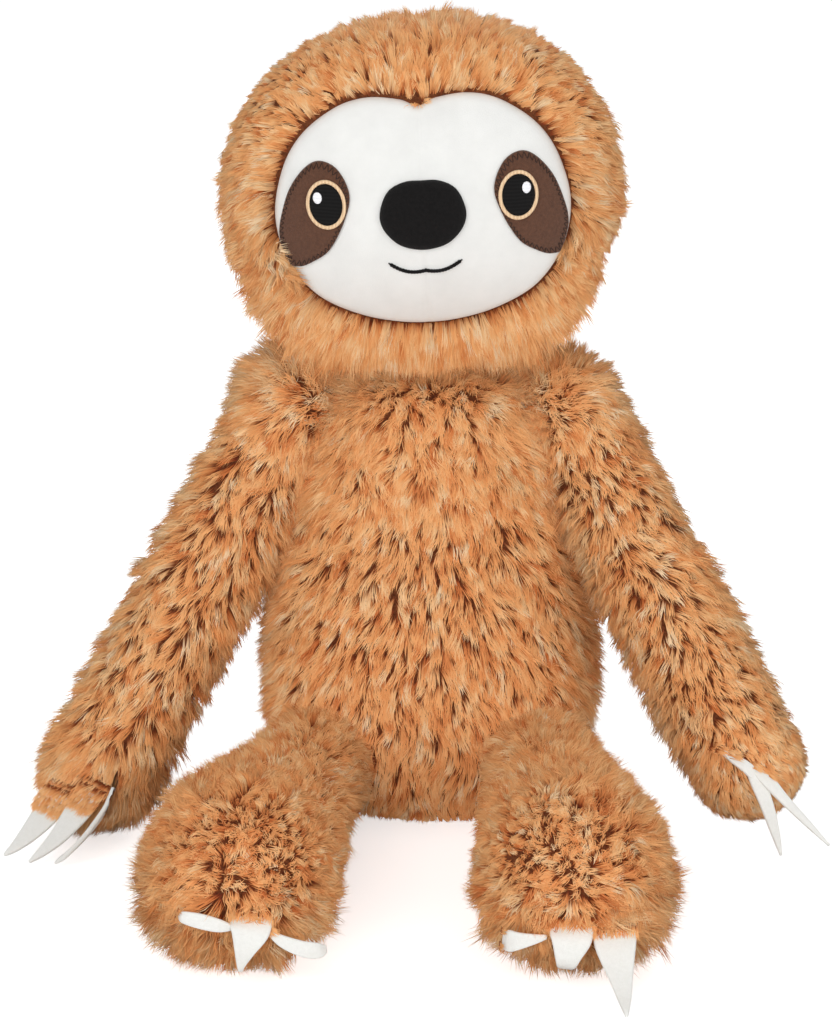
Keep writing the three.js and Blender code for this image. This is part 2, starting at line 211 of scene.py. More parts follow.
def mottle(tree, scale, detail=4.0, roughness=0.6):
    """Noise fixed to the piece, at a scale in blotches per metre."""
    place = tree.nodes.new("ShaderNodeTexCoord")
    noise = tree.nodes.new("ShaderNodeTexNoise")
    noise.inputs["Scale"].default_value = scale
    noise.inputs["Detail"].default_value = detail
    noise.inputs["Roughness"].default_value = roughness
    tree.links.new(place.outputs["Object"], noise.inputs["Vector"])
    return noise.outputs["Fac"]


def raise_by(tree, shader, height, distance, strength=0.6):
    """Bump on a shader, from a height."""
    bump = tree.nodes.new("ShaderNodeBump")
    bump.inputs["Distance"].default_value = distance
    bump.inputs["Strength"].default_value = strength
    tree.links.new(height, bump.inputs["Height"])
    tree.links.new(bump.outputs["Normal"], shader.inputs["Normal"])


# %% [markdown]
# ### Pile
# The pile is frosted: each fibre runs from a dark brown root through ginger to a paler tip, and some tufts
# are redder than others. The dark roots are also painted shade: they stand for the shadow deep between the
# tufts, because the fibres cast none. A fibre's colour is read from its own UV map, where V runs from root
# to tip and U is the shade of its tuft. One ramp gives the shade, another the darkness along the fibre, and
# their product is the colour.

# %% Pile material
PILE_MAP = "OFBake"
PILE_SHADES = [
    (0.0, (214, 124, 66)), (0.25, (242, 166, 102)), (0.55, (253, 192, 130)), (0.8, (255, 214, 162)),
    (1.0, (255, 228, 190)),
]
# darkness along a fibre: frosted dye, and painted shade towards the root
PILE_LENGTHWAYS = [
    (0.0, (96, 54, 36)), (0.2, (140, 90, 64)), (0.36, (216, 190, 172)), (0.6, (246, 240, 234)),
    (1.0, (255, 255, 255)),
]

pile, tree, shader = finish("ginger_pile", (210, 140, 85), 0.6, 0.2, 0.2, 0.5)
shader.inputs["Sheen Tint"].default_value = linear(255, 200, 146)
fibre_map = tree.nodes.new("ShaderNodeUVMap")
fibre_map.uv_map = PILE_MAP
split = tree.nodes.new("ShaderNodeSeparateXYZ")
tree.links.new(fibre_map.outputs["UV"], split.inputs[0])
mix = tree.nodes.new("ShaderNodeMix")
mix.data_type = "RGBA"
mix.blend_type = "MULTIPLY"
mix.inputs["Factor"].default_value = 1.0
tree.links.new(ramp(tree, split.outputs["X"], PILE_SHADES), mix.inputs["A"])
tree.links.new(ramp(tree, split.outputs["Y"], PILE_LENGTHWAYS), mix.inputs["B"])
tree.links.new(mix.outputs["Result"], shader.inputs["Base Color"])
print("pile shades:", len(PILE_SHADES))

# %% [markdown]
# ### Backing, wadding and felt
# Under the pile are a brown knitted backing and white wadding, which show only in a gap or under a lifted
# limb. Felt is pressed fibre with no weave, so a picture of cloth would be wrong for it. Noise draws all
# three: a mottle in the colour, and a finer one as bump.

# %% Backing, wadding and felt materials
# the backing's dark brown is its own colour and also painted shade for the bottom of the pile
knit_backing, tree, shader = finish("brown_knit_backing", (84, 48, 32), 0.95, 0.1)
color_by(tree, shader, mottle(tree, 900), [(0.35, (84, 46, 28)), (0.65, (120, 70, 44))])
raise_by(tree, shader, mottle(tree, 1400, 2), 0.0006)

wadding, tree, shader = finish("white_wadding", (240, 238, 230), 1.0, 0.1, 0.3)
color_by(tree, shader, mottle(tree, 260), [(0.3, (222, 219, 210)), (0.7, (246, 245, 240))])
raise_by(tree, shader, mottle(tree, 500, 6), 0.002)


def felt(name, dark, light, sheen):
    """Pressed felt: a fine mottle over a coarser one, with a matted surface."""
    material, tree, shader = finish(name, light, 0.95, 0.1, sheen, 0.6)
    color_by(tree, shader, mottle(tree, 700, 8, 0.7), [(0.3, dark), (0.7, light)])
    raise_by(tree, shader, mottle(tree, 2200, 6, 0.7), 0.0005, 0.7)
    return material


brown_felt = felt("brown_felt", (80, 51, 36), (103, 67, 48), 0.2)
black_felt = felt("black_felt", (14, 13, 13), (25, 23, 23), 0.05)
white_felt = felt("white_felt", (238, 238, 233), (246, 246, 242), 0.1)
print("felts:", brown_felt.name, black_felt.name, white_felt.name)

# %% [markdown]
# ### Face cloth and thread
# The face is a short brushed knit, almost smooth and a little uneven in its white. Thread is shinier
# than felt, and its strands lie side by side, which a wave texture draws.

# %% Face cloth and thread materials
face_cloth, tree, shader = finish("white_face_cloth", (233, 233, 230), 0.85, 0.2, 0.2, 0.5)
color_by(tree, shader, mottle(tree, 60, 5), [(0.3, (228, 228, 225)), (0.7, (236, 236, 233))])
raise_by(tree, shader, mottle(tree, 1800, 4), 0.0002, 0.5)

THREAD_PITCH = 0.5 * MM


def thread(name, dark, light, run="X", gloss=0.4):
    """Embroidery thread: fine strands side by side, repeated along run."""
    material, tree, shader = finish(name, light, 0.9 - gloss, gloss, 0.1)
    place = tree.nodes.new("ShaderNodeTexCoord")
    strands = tree.nodes.new("ShaderNodeTexWave")
    strands.inputs["Scale"].default_value = 0.1 / THREAD_PITCH
    strands.inputs["Distortion"].default_value = 1.5
    strands.inputs["Detail"].default_value = 2.0
    strands.bands_direction = run
    tree.links.new(place.outputs["Object"], strands.inputs["Vector"])
    color_by(tree, shader, strands.outputs["Fac"], [(0.0, dark), (1.0, light)])
    raise_by(tree, shader, strands.outputs["Fac"], 0.0003, 1.5 * gloss)
    return material


tan_thread = thread("tan_thread", (222, 186, 146), (240, 208, 168))
black_thread = thread("black_thread", (12, 11, 11), (21, 20, 20), "Z", gloss=0.1)
white_thread = thread("white_thread", (238, 239, 245), (250, 250, 253), "Z")
brown_thread = thread("brown_thread", (40, 24, 17), (58, 36, 26), gloss=0.2)
print("materials:", len(bpy.data.materials))

# %% [markdown]
# ## Forms
# The stuffing gives the toy its shape, so the same formulas that shaped the CAD solids are repeated here
# with more points. Each one answers two questions: where the surface is, at a height above the stuffing,
# and how deep inside it a point lies. The second keeps fur from growing where two parts meet.

# %% Rotations
def turn_y(points, angle):
    """Points turned about Y: +Z goes towards +X."""
    x, y, z = np.moveaxis(np.asarray(points, float), -1, 0)
    return np.stack([x * np.cos(angle) + z * np.sin(angle), y, z * np.cos(angle) - x * np.sin(angle)], -1)


def turn_x(points, angle):
    """Points turned about X: +Y goes towards +Z."""
    x, y, z = np.moveaxis(np.asarray(points, float), -1, 0)
    return np.stack([x, y * np.cos(angle) - z * np.sin(angle), y * np.sin(angle) + z * np.cos(angle)], -1)


def unit(vectors):
    """Vectors at length 1."""
    return vectors / np.maximum(np.linalg.norm(vectors, axis=-1, keepdims=True), 1e-12)


def globe(rings, sides):
    """Points of a unit sphere from the lowest to the highest, and its faces."""
    height = np.linspace(0, np.pi, rings + 1)[1:-1]
    around = np.linspace(0, 2 * np.pi, sides, endpoint=False)
    h, a = np.meshgrid(height, around, indexing="ij")
    body = np.stack([np.sin(h) * np.cos(a), np.sin(h) * np.sin(a), -np.cos(h)], -1).reshape(-1, 3)
    points = np.vstack([[0, 0, -1], body, [0, 0, 1]])
    return points, globe_faces(rings - 1, sides)


def globe_faces(rows, sides):
    """Faces of rows of points between two poles."""
    last = 1 + rows * sides
    faces = [(0, 1 + (s + 1) % sides, 1 + s) for s in range(sides)]
    for row in range(rows - 1):
        low = 1 + row * sides
        for s in range(sides):
            e = (s + 1) % sides
            faces.append((low + s, low + e, low + sides + e, low + sides + s))
    faces += [(last, last - sides + s, last - sides + (s + 1) % sides) for s in range(sides)]
    return faces


print("a globe of 3 rings and 4 sides:", len(globe(3, 4)[0]), "points")

# %% [markdown]
# ### Body
# The body is an upright bag, wide at the seat and narrower at the shoulders. It starts as a globe, is
# squared off so that its sides stand straighter, and is then tapered.

# %% Body form
TORSO_HALF = np.array([80, 58, 103]) * MM
TORSO_FULLNESS = 0.42
TORSO_TAPER = 0.28
TORSO_THROUGH = 62 * MM


def torso_surface(grow, rings=90, sides=120):
    """An upright globe, squared off by its fullness and narrower towards the shoulders."""
    points, faces = globe(rings, sides)
    across = np.hypot(points[:, 0], points[:, 1])
    full = np.where(across > 0, np.maximum(across, 1e-9) ** (TORSO_FULLNESS - 1), 0)
    taper = 1 - TORSO_TAPER * (1 + points[:, 2]) / 2
    x = points[:, 0] * full * taper * (TORSO_HALF[0] + grow)
    y = points[:, 1] * full * taper * (TORSO_HALF[1] + grow)
    z = TORSO_HALF[2] + points[:, 2] * (TORSO_HALF[2] + grow)
    return np.stack([x, y, z], -1), faces


def depth_in_torso(points):
    """Roughly how deep points lie in the body, less than 0 outside it."""
    share = (points[:, 2] - TORSO_HALF[2]) / TORSO_HALF[2]
    inside = np.clip(1 - share**2, 0, 1)
    taper = 1 - TORSO_TAPER * (1 + share) / 2
    reach = np.hypot(points[:, 0] / (TORSO_HALF[0] * taper), points[:, 1] / (TORSO_HALF[1] * taper))
    return (inside ** (TORSO_FULLNESS / 2) - reach) * TORSO_THROUGH


print("body half sizes in mm:", TORSO_HALF / MM)

# %% [markdown]
# ### Head
# The head is a rounded box that leans a little to one side, with a soft muzzle pushed out of its front.
# It could be sculpted by hand, but a formula lets every sewn piece find the cloth that lies under it.

# %% Head form
NECK = np.array([0, 4, 222]) * MM
HEAD_HALF = np.array([83, 64, 68]) * MM
HEAD_POWER = 2.5
HEAD_RISE = np.array([0, -4, 78]) * MM
HEAD_ROLL = np.radians(3)
MUZZLE = {"bulge": 7 * MM, "width": 34 * MM, "height": 30 * MM, "drop": 12 * MM}


def to_head(points):
    """From the head's own axes, centred in it, to the toy's."""
    return turn_y(np.asarray(points) + HEAD_RISE, -HEAD_ROLL) + NECK


def from_head(points):
    """From the toy's axes back to the head's own."""
    return turn_y(np.asarray(points) - NECK, HEAD_ROLL) - HEAD_RISE


def head_reach(aim, grow):
    """How far the head's surface lies from its centre along unit vectors."""
    share = np.abs(aim) / (HEAD_HALF + np.asarray(grow)[..., None])
    reach = (share**HEAD_POWER).sum(-1) ** (-1 / HEAD_POWER)
    side = aim[..., 0] * reach / MUZZLE["width"]
    lift = (aim[..., 2] * reach + MUZZLE["drop"]) / MUZZLE["height"]
    bulge = np.where(aim[..., 1] < 0, MUZZLE["bulge"] * np.exp(-(side**2) - lift**2), 0)
    return reach + bulge


def head_surface(grow, rings=100, sides=140):
    """The head's skin at a height above its stuffing."""
    aim, faces = globe(rings, sides)
    return to_head(aim * head_reach(aim, grow)[:, None]), faces


def depth_in_head(points):
    """How deep points lie in the head, less than 0 outside it."""
    local = from_head(points)
    return head_reach(unit(local), 0.0) - np.linalg.norm(local, axis=1)


PAST_THE_FACE = 120 * MM


def put_ahead(flat, ahead):
    """Points of the head at (across, up) places, so far ahead of its centre."""
    return np.stack([flat[..., 0], -ahead, flat[..., 1]], -1)


def front_of(shape, inside):
    """How far ahead of the head's centre inside() holds, found by halving the distance 30 times."""
    near, far = np.zeros(shape), np.full(shape, PAST_THE_FACE)
    for _ in range(30):
        middle = (near + far) / 2
        held = inside(middle)
        near, far = np.where(held, middle, near), np.where(held, far, middle)
    return near


print("head half sizes in mm:", HEAD_HALF / MM)

# %% [markdown]
# ### Arms and legs
# Each limb is a bag with round ends, filled through three radii: root, middle and tip. It is made hanging
# straight down from its joint, and then spread sideways and swung forward, as its two hinges hold it.

# %% Limb forms
LIMBS = {
    "left_arm": {"side": 1, "length": 187, "radii": (18, 20.5, 20.5), "root": (64, 0, 191),
                 "swing": 33, "spread": 25.3, "top": 1, "flatter": (18, 22), "hand_trim": 7},
    "right_arm": {"side": -1, "length": 187, "radii": (18, 20.5, 20.5), "root": (-64, 0, 191),
                  "swing": 14.7, "spread": 28.6, "top": 9, "flatter": (-14, 18), "hand_trim": -4},
    "left_leg": {"side": 1, "length": 162, "radii": (16, 23, 33), "root": (50, -36, 34),
                 "swing": 92.7, "spread": 3.2},
    "right_leg": {"side": -1, "length": 162, "radii": (16, 23, 33), "root": (-50, -36, 34),
                  "swing": 92.7, "spread": 11},
}


def along_limb(limb, points):
    """A limb's hanging points in its place on the toy."""
    turned = turn_y(points, -limb["side"] * np.radians(limb["spread"]))
    return turn_x(turned, -np.radians(limb["swing"])) + np.array(limb["root"]) * MM


def back_along_limb(limb, points):
    """Points on the toy, where they would be with the limb hanging straight down."""
    back = turn_x(np.asarray(points) - np.array(limb["root"]) * MM, np.radians(limb["swing"]))
    return turn_y(back, limb["side"] * np.radians(limb["spread"]))


def limb_surface(limb, grow, rows_round=14, rows_along=60, sides=64):
    """A round-ended bag through three radii, from the tip to the root."""
    length = limb["length"] * MM
    root, mid, tip = (r * MM + grow for r in limb["radii"])
    turns = np.linspace(0, np.pi / 2, rows_round + 1)[1:]
    way = np.linspace(0, 1, rows_along + 2)[1:-1]
    falls = np.linspace(0, np.pi / 2, rows_round + 1)[:-1]
    z = np.concatenate([np.cos(turns) * root, -way * length, -length - np.sin(falls) * tip])[::-1]
    sleeve = np.interp(way, [0, 0.5, 1], [root, mid, tip])
    r = np.concatenate([np.sin(turns) * root, sleeve, np.cos(falls) * tip])[::-1]
    around = np.linspace(0, 2 * np.pi, sides, endpoint=False)
    x = r[:, None] * np.cos(around)
    y = r[:, None] * np.sin(around)
    body = np.stack([x, y, np.broadcast_to(z[:, None], x.shape)], -1).reshape(-1, 3)
    points = np.vstack([[0, 0, -length - tip], body, [0, 0, root]])
    return along_limb(limb, points), globe_faces(len(z), sides)


def depth_in_limb(limb, points):
    """How deep points lie in a limb, less than 0 outside it."""
    local = back_along_limb(limb, points)
    share = np.clip(-local[:, 2] / (limb["length"] * MM), 0, 1)
    radius = np.interp(share, [0, 0.5, 1], limb["radii"]) * MM
    down = np.stack([0 * share, 0 * share, share * limb["length"] * MM], -1)
    return radius - np.linalg.norm(local + down, axis=1)


print("limb lengths in mm:", {name: limb["length"] for name, limb in LIMBS.items()})

# %% [markdown]
# ## Backing cloth
# Pile fabric is fibres knitted into a backing. On the toy the backing is hardly seen, only between tufts
# and along creases, but it gives the fur its shape. Its dark brown is partly painted shade there: it stands
# for the shadow at the bottom of the pile, which the fibres do not cast. One closed skin covers each
# stuffed part. Cloth simulation could blow up flat panels instead, but these forms are round and tight, and
# the pile hides every wrinkle. The body's skin is drawn in where a limb lies in it, and all skins are flat
# on the floor.

# %% Skins
BACKING_THICK = 1.5 * MM
FLOOR_GAP = 0.4 * MM
TUCK = 3 * MM
COVERS = {
    "torso": ("torso", ["torso_front_panel", "torso_back_panel", "seat_panel"]),
    "head": ("head", ["head_panel_left", "head_panel_right"]),
}
for name in LIMBS:
    ends = ("front_panel", "back_panel") if name.endswith("arm") else ("top_panel", "sole_panel")
    COVERS[name] = (name, [f"{name}_{end}" for end in ends])


def tuck_in(points):
    """Draws the body's skin in until no limb lies in it."""
    for limb in LIMBS.values():
        for _ in range(12):
            depth = np.maximum(depth_in_limb(limb, points) + TUCK, 0)
            points = points - 0.5 * depth[:, None] * unit(points * [1, 1, 0])
    return points


skins = {}
for name, (body, panels) in COVERS.items():
    if name == "torso":
        points, faces = torso_surface(BACKING_THICK)
        points = tuck_in(points)
    elif name == "head":
        points, faces = head_surface(BACKING_THICK)
    else:
        points, faces = limb_surface(LIMBS[name], BACKING_THICK)
    points[:, 2] = np.maximum(points[:, 2], FLOOR_GAP)
    skin = mesh_piece(f"{name}_backing", points, faces)
    skin.data.materials.append(knit_backing)
    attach(skin, body)
    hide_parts(*panels)
    skins[name] = (points, faces)
    print(skin.name, "points:", len(points))

# %% [markdown]
# The head and each limb turn on a small round cap of cloth that is sewn to the body. A cap is a shell
# with two round sides and a rim, cut from a globe about the joint and turned to face the body.

# %% Seam caps
CAP_OVER_BACKING = 0.4 * MM
CAP_THICK = 0.8 * MM
CAP_WIDE = np.radians(40)
NECK_RADIUS = 16 * MM
CAP_TILT = {"arm": 65, "leg": 30}


def cap_surface(radius, rings=8, sides=40):
    """A round shell about +Z, from its inner pole over the rim to its outer pole."""
    turns = np.linspace(0, CAP_WIDE, rings + 1)[1:]
    polar = np.concatenate([turns, turns[::-1]])
    size = np.concatenate([np.full(rings, radius), np.full(rings, radius + CAP_THICK)])
    around = np.linspace(0, 2 * np.pi, sides, endpoint=False)
    x = (size * np.sin(polar))[:, None] * np.cos(around)
    y = (size * np.sin(polar))[:, None] * np.sin(around)
    z = np.broadcast_to((size * np.cos(polar))[:, None], x.shape)
    body = np.stack([x, y, z], -1).reshape(-1, 3)
    points = np.vstack([[0, 0, radius], body, [0, 0, radius + CAP_THICK]])
    return points, globe_faces(2 * rings, sides)


def limb_cap(name):
    """The cap about a limb's root, tilted to face the body."""
    limb = LIMBS[name]
    points, faces = cap_surface(limb["radii"][0] * MM + BACKING_THICK + CAP_OVER_BACKING)
    tilted = turn_y(points, -limb["side"] * np.radians(CAP_TILT[name.split("_")[1]]))
    return turn_x(tilted, -np.radians(limb["swing"])) + np.array(limb["root"]) * MM, faces


def neck_ball():
    """The short neck inside the collar of fur."""
    points, faces = globe(24, 40)
    return points * (NECK_RADIUS + BACKING_THICK) + NECK, faces


def neck_cap():
    """The cap under the neck."""
    points, faces = cap_surface(NECK_RADIUS + BACKING_THICK + CAP_OVER_BACKING)
    return turn_x(points, np.pi) + NECK, faces


CAPS = {"neck": (neck_ball(), "head", []), "neck_cap": (neck_cap(), "neck", ["neck_seam_tab"])}
for name in LIMBS:
    joint = name.replace("arm", "shoulder").replace("leg", "hip")
    CAPS[f"{name}_cap"] = (limb_cap(name), joint, [f"{joint}_seam_tab"])
for name, ((points, faces), body, tabs) in CAPS.items():
    cap = mesh_piece(f"{name}_backing", points, faces)
    cap.data.materials.append(knit_backing)
    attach(cap, body)
    if tabs:
        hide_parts(*tabs)
    skins[name] = (points, faces)
print("seam caps:", len(CAPS) - 1, "and the neck")

# %% [markdown]
# ## Fur
# Blender can grow hair, but this toy's fur has to leave as plain meshes, and the look of this pile comes
# from its tufts: small bunches of fibres that share a root and lean together. So the fur is built as
# thin three-sided fibres. Tufts are spread evenly over a skin by area, each gets a direction from the
# way the pile was brushed, and its fibres draw together towards the tip.
#
# Real pile lets light through and passes it on. Solid little prisms would shade one another almost to
# black, so two things stand in for that glow. Each fibre's shading normal is nearly that of the skin
# under it, turned a little outward from the middle of its tuft. And the fibres cast no shadow: the
# skins under them do.

# %% Spreading tufts over a skin
CANDIDATES_PER_GAP = 3.0


def triangles_of(faces):
    """Every face as triangles about its first corner."""
    return np.array([(f[0], f[i], f[i + 1]) for f in faces for i in range(1, len(f) - 1)])


def thin_out(roots, gap):
    """Which of the points stay when none may be nearer to another than gap."""
    tree = KDTree(len(roots))
    for at, root in enumerate(roots):
        tree.insert(root, at)
    tree.balance()
    state = np.zeros(len(roots), np.int8)
    for at, root in enumerate(roots):
        if state[at] == 0:
            for _, near, _ in tree.find_range(root, gap):
                state[near] = 2
            state[at] = 1
    return state == 1


def spread_tufts(points, faces, gap, rng):
    """Evenly spaced root points and their surface normals."""
    tris = triangles_of(faces)
    a, b, c = (points[tris[:, i]] for i in range(3))
    cross = np.cross(b - a, c - a)
    area = np.linalg.norm(cross, axis=1) / 2
    normal = np.zeros_like(points)
    for i in range(3):
        np.add.at(normal, tris[:, i], cross)
    normal = unit(normal)
    count = int(CANDIDATES_PER_GAP * area.sum() / gap**2)
    pick = rng.choice(len(tris), count, p=area / area.sum())
    u, v = rng.random((2, count))
    u, v = np.where(u + v > 1, 1 - u, u), np.where(u + v > 1, 1 - v, v)
    blend = np.stack([1 - u - v, u, v], -1)[..., None]
    roots = (points[tris[pick]] * blend).sum(1)
    stay = thin_out(roots, gap)
    return roots[stay], unit((normal[tris[pick]] * blend).sum(1))[stay]


def drift(points, wave_mm, rng, waves=6):
    """A smooth random number from about -1 to 1 for each point: how the pile was ruffled there."""
    total = np.zeros(len(points))
    for _ in range(waves):
        aim = unit(rng.normal(size=3)) * 2 * np.pi / (wave_mm * MM * rng.uniform(0.7, 1.5))
        total += np.sin(points @ aim + rng.uniform(0, 2 * np.pi))
    return total / np.sqrt(waves)


print("places tried for each tuft:", CANDIDATES_PER_GAP)

# %% [markdown]
# ### One fibre
# A fibre could be a curve with a bevel, but that costs many more points. Here it is a thin prism: two
# rings of three points, and a tip. Its lower part leaves the skin with its tuft's lean at the root, and
# its last third bends over to the lean at the tip.

# %% Growing fibres
FIBRE_HALF_THICK = 0.21 * MM
ROOT_BURIED = 1.0 * MM
STRAY = 0.08
FIBRES_PER_TUFT = 14
FIBRE_LENGTHS = (0.82, 1.06)
FIBRE_SHADES = 0.035
TUFT_SPREAD = 1.9 * MM
DRAWN_AT_BEND, DRAWN_AT_TIP = 0.3, 0.2
BEND_SHARE = 0.66
FLOOR_CLEAR = 0.25 * MM
SHADE_WIDTH = 0.012
ROUND_SHARE = 0.55
MOST_FIBRES = 22000


def grow_fibres(tufts, rng):
    """Every fibre's two rings and its tip, its shading normals and its shade, from a lot of tufts."""
    across = np.cross(tufts["normal"], tufts["nap"])
    count, shape = len(across), (len(across), FIBRES_PER_TUFT)
    angle = rng.uniform(0, 2 * np.pi, shape)
    away = TUFT_SPREAD * tufts["spread"][:, None] * np.sqrt(rng.random(shape))
    offset = (away * np.cos(angle))[..., None] * tufts["nap"][:, None]
    offset += (away * np.sin(angle))[..., None] * across[:, None]
    length = (tufts["length"][:, None] * rng.uniform(*FIBRE_LENGTHS, shape))[..., None]
    stray = rng.normal(0, STRAY, (*shape, 3))

    def heading(lean, loose):
        """The fibres' directions, leaning from the normal to the nap, each with its own stray."""
        straight = np.cos(lean)[:, None] * tufts["normal"] + np.sin(lean)[:, None] * tufts["nap"]
        return unit(straight[:, None] + loose * stray)

    low = heading(tufts["lean_root"], 1.0)
    high = heading(tufts["lean_tip"], 1.6)
    start = tufts["root"][:, None] + offset - ROOT_BURIED * tufts["normal"][:, None]
    middle = start + BEND_SHARE * length * low - DRAWN_AT_BEND * offset
    end = middle + (1 - BEND_SHARE) * length * high - DRAWN_AT_TIP * offset
    first = unit(np.cross(low, rng.normal(size=(*shape, 3))))
    second = np.cross(low, first)
    rings = []
    for centre, half in ((start, 1.0), (middle, 0.95)):
        for turn in (0, 2 * np.pi / 3, 4 * np.pi / 3):
            corner = np.cos(turn) * first + np.sin(turn) * second
            rings.append(centre + FIBRE_HALF_THICK * half * corner)
    points = np.stack([*rings, end], 2).reshape(-1, 7, 3)
    clump = unit((tufts["normal"] + tufts["turned"])[:, None] + ROUND_SHARE * offset / TUFT_SPREAD)
    soft = np.repeat(clump.reshape(-1, 1, 3), 7, 1)
    points[..., 2] = np.maximum(points[..., 2], FLOOR_CLEAR)
    shade = np.repeat(tufts["shade"], FIBRES_PER_TUFT)
    shade = shade + rng.normal(0, FIBRE_SHADES, count * FIBRES_PER_TUFT)
    return points, soft, np.clip(shade, 0.01, 0.985 - SHADE_WIDTH)


SIDE_QUADS = [(k, (k + 1) % 3, 3 + (k + 1) % 3, 3 + k) for k in range(3)]
TIP_TRIS = [(3 + k, 3 + (k + 1) % 3, 6) for k in range(3)]


def fibre_mesh(name, points, soft, shade):
    """One mesh of many fibres, with U as their shade and V from root to tip."""
    count = len(points)
    corners = np.array([c for f in SIDE_QUADS + TIP_TRIS for c in f])
    third = SHADE_WIDTH / 3
    u, v = [], []
    for k in range(3):
        u += [k * third, (k + 1) * third, (k + 1) * third, k * third]
        v += [0.02, 0.02, BEND_SHARE, BEND_SHARE]
    for k in range(3):
        u += [k * third, (k + 1) * third, (k + 0.5) * third]
        v += [BEND_SHARE, BEND_SHARE, 0.98]
    mesh = bpy.data.meshes.new(name)
    mesh.vertices.add(count * 7)
    mesh.vertices.foreach_set("co", points.astype(np.float32).ravel())
    loops = (np.arange(count)[:, None] * 7 + corners).ravel()
    mesh.loops.add(len(loops))
    mesh.loops.foreach_set("vertex_index", loops.astype(np.int32))
    sizes = np.tile([4, 4, 4, 3, 3, 3], count)
    starts = np.concatenate([[0], np.cumsum(sizes)[:-1]])
    mesh.polygons.add(len(sizes))
    mesh.polygons.foreach_set("loop_start", starts.astype(np.int32))
    mesh.polygons.foreach_set("use_smooth", np.ones(len(sizes), bool))
    mesh.update(calc_edges=True)
    mesh.normals_split_custom_set_from_vertices(soft.reshape(-1, 3))
    layer = mesh.uv_layers.new(name=PILE_MAP)
    uv = np.stack([shade[:, None] + np.array(u), np.broadcast_to(v, (count, len(v)))], -1)
    layer.uv.foreach_set("vector", uv.astype(np.float32).ravel())
    piece = bpy.data.objects.new(name, mesh)
    bpy.context.scene.collection.objects.link(piece)
    return piece


print("a fibre is", 2 * FIBRE_HALF_THICK / MM, "mm thick, with", FIBRES_PER_TUFT, "in a tuft")

# %% [markdown]
# ### The edge of the face
# The white face is let into the pile, so no tuft may root inside its outline. The outline is kept as a
# distance from the face's middle for each direction, which makes the test a single comparison.

# %% Face outline
FACE_HALF = np.array([66, 52]) * MM
FACE_DROP = 5 * MM
FACE_SHARES = [
    (0, 0.93), (0.12, 0.985), (0.33, 1.01), (0.53, 0.95), (0.735, 0.785), (0.873, 0.58), (0.96, 0.317),
    (1, 0.03), (0.967, -0.25), (0.873, -0.5), (0.71, -0.72), (0.45, -0.88), (0.2, -0.96), (0, -0.98),
]


def between(a, b, c, d, t):
    """The smooth curve of Catmull and Rom from b to c, at shares t, with a before them and d beyond."""
    bend = 2 * a - 5 * b + 4 * c - d
    return 0.5 * (2 * b + (c - a) * t + bend * t**2 + (3 * b - a - 3 * c + d) * t**3)


def smooth_loop(points, steps=8):
    """A closed smooth curve through points, with equal steps between them."""
    p = np.asarray(points, float)
    before, after, beyond = np.roll(p, 1, 0), np.roll(p, -1, 0), np.roll(p, -2, 0)
    t = np.linspace(0, 1, steps, endpoint=False)[None, :, None]
    return between(*(q[:, None] for q in (before, p, after, beyond)), t).reshape(-1, p.shape[1])


half_face = np.array(FACE_SHARES) * FACE_HALF
other_half = half_face[1:-1][::-1] * [-1, 1]
face_edge = smooth_loop(np.vstack([half_face, other_half])) - [0, FACE_DROP]
face_middle = np.array([0, -FACE_DROP])
spokes = face_edge - face_middle
order = np.argsort(np.arctan2(spokes[:, 1], spokes[:, 0]))
edge_angle = np.arctan2(spokes[:, 1], spokes[:, 0])[order]
edge_reach = np.linalg.norm(spokes, axis=1)[order]


def beyond_face(local):
    """How far outside the face's outline points of the head lie, less than 0 inside it."""
    flat = local[:, [0, 2]] - face_middle
    angle = np.arctan2(flat[:, 1], flat[:, 0])
    reach = np.interp(angle, edge_angle, edge_reach, period=2 * np.pi)
    return np.where(local[:, 1] < 0, np.linalg.norm(flat, axis=1) - reach, 1.0)


print("points around the face:", len(face_edge))

# %% [markdown]
# ### Where the claws lie
# The claws are laid out before the fur grows, because no fibre may cross one. Each claw has the way that
# its flat side looks, and a row of stations: a place in millimetres and half the claw's width there.
# The first stations of each are tucked into the pile, so fibres may lie over them.

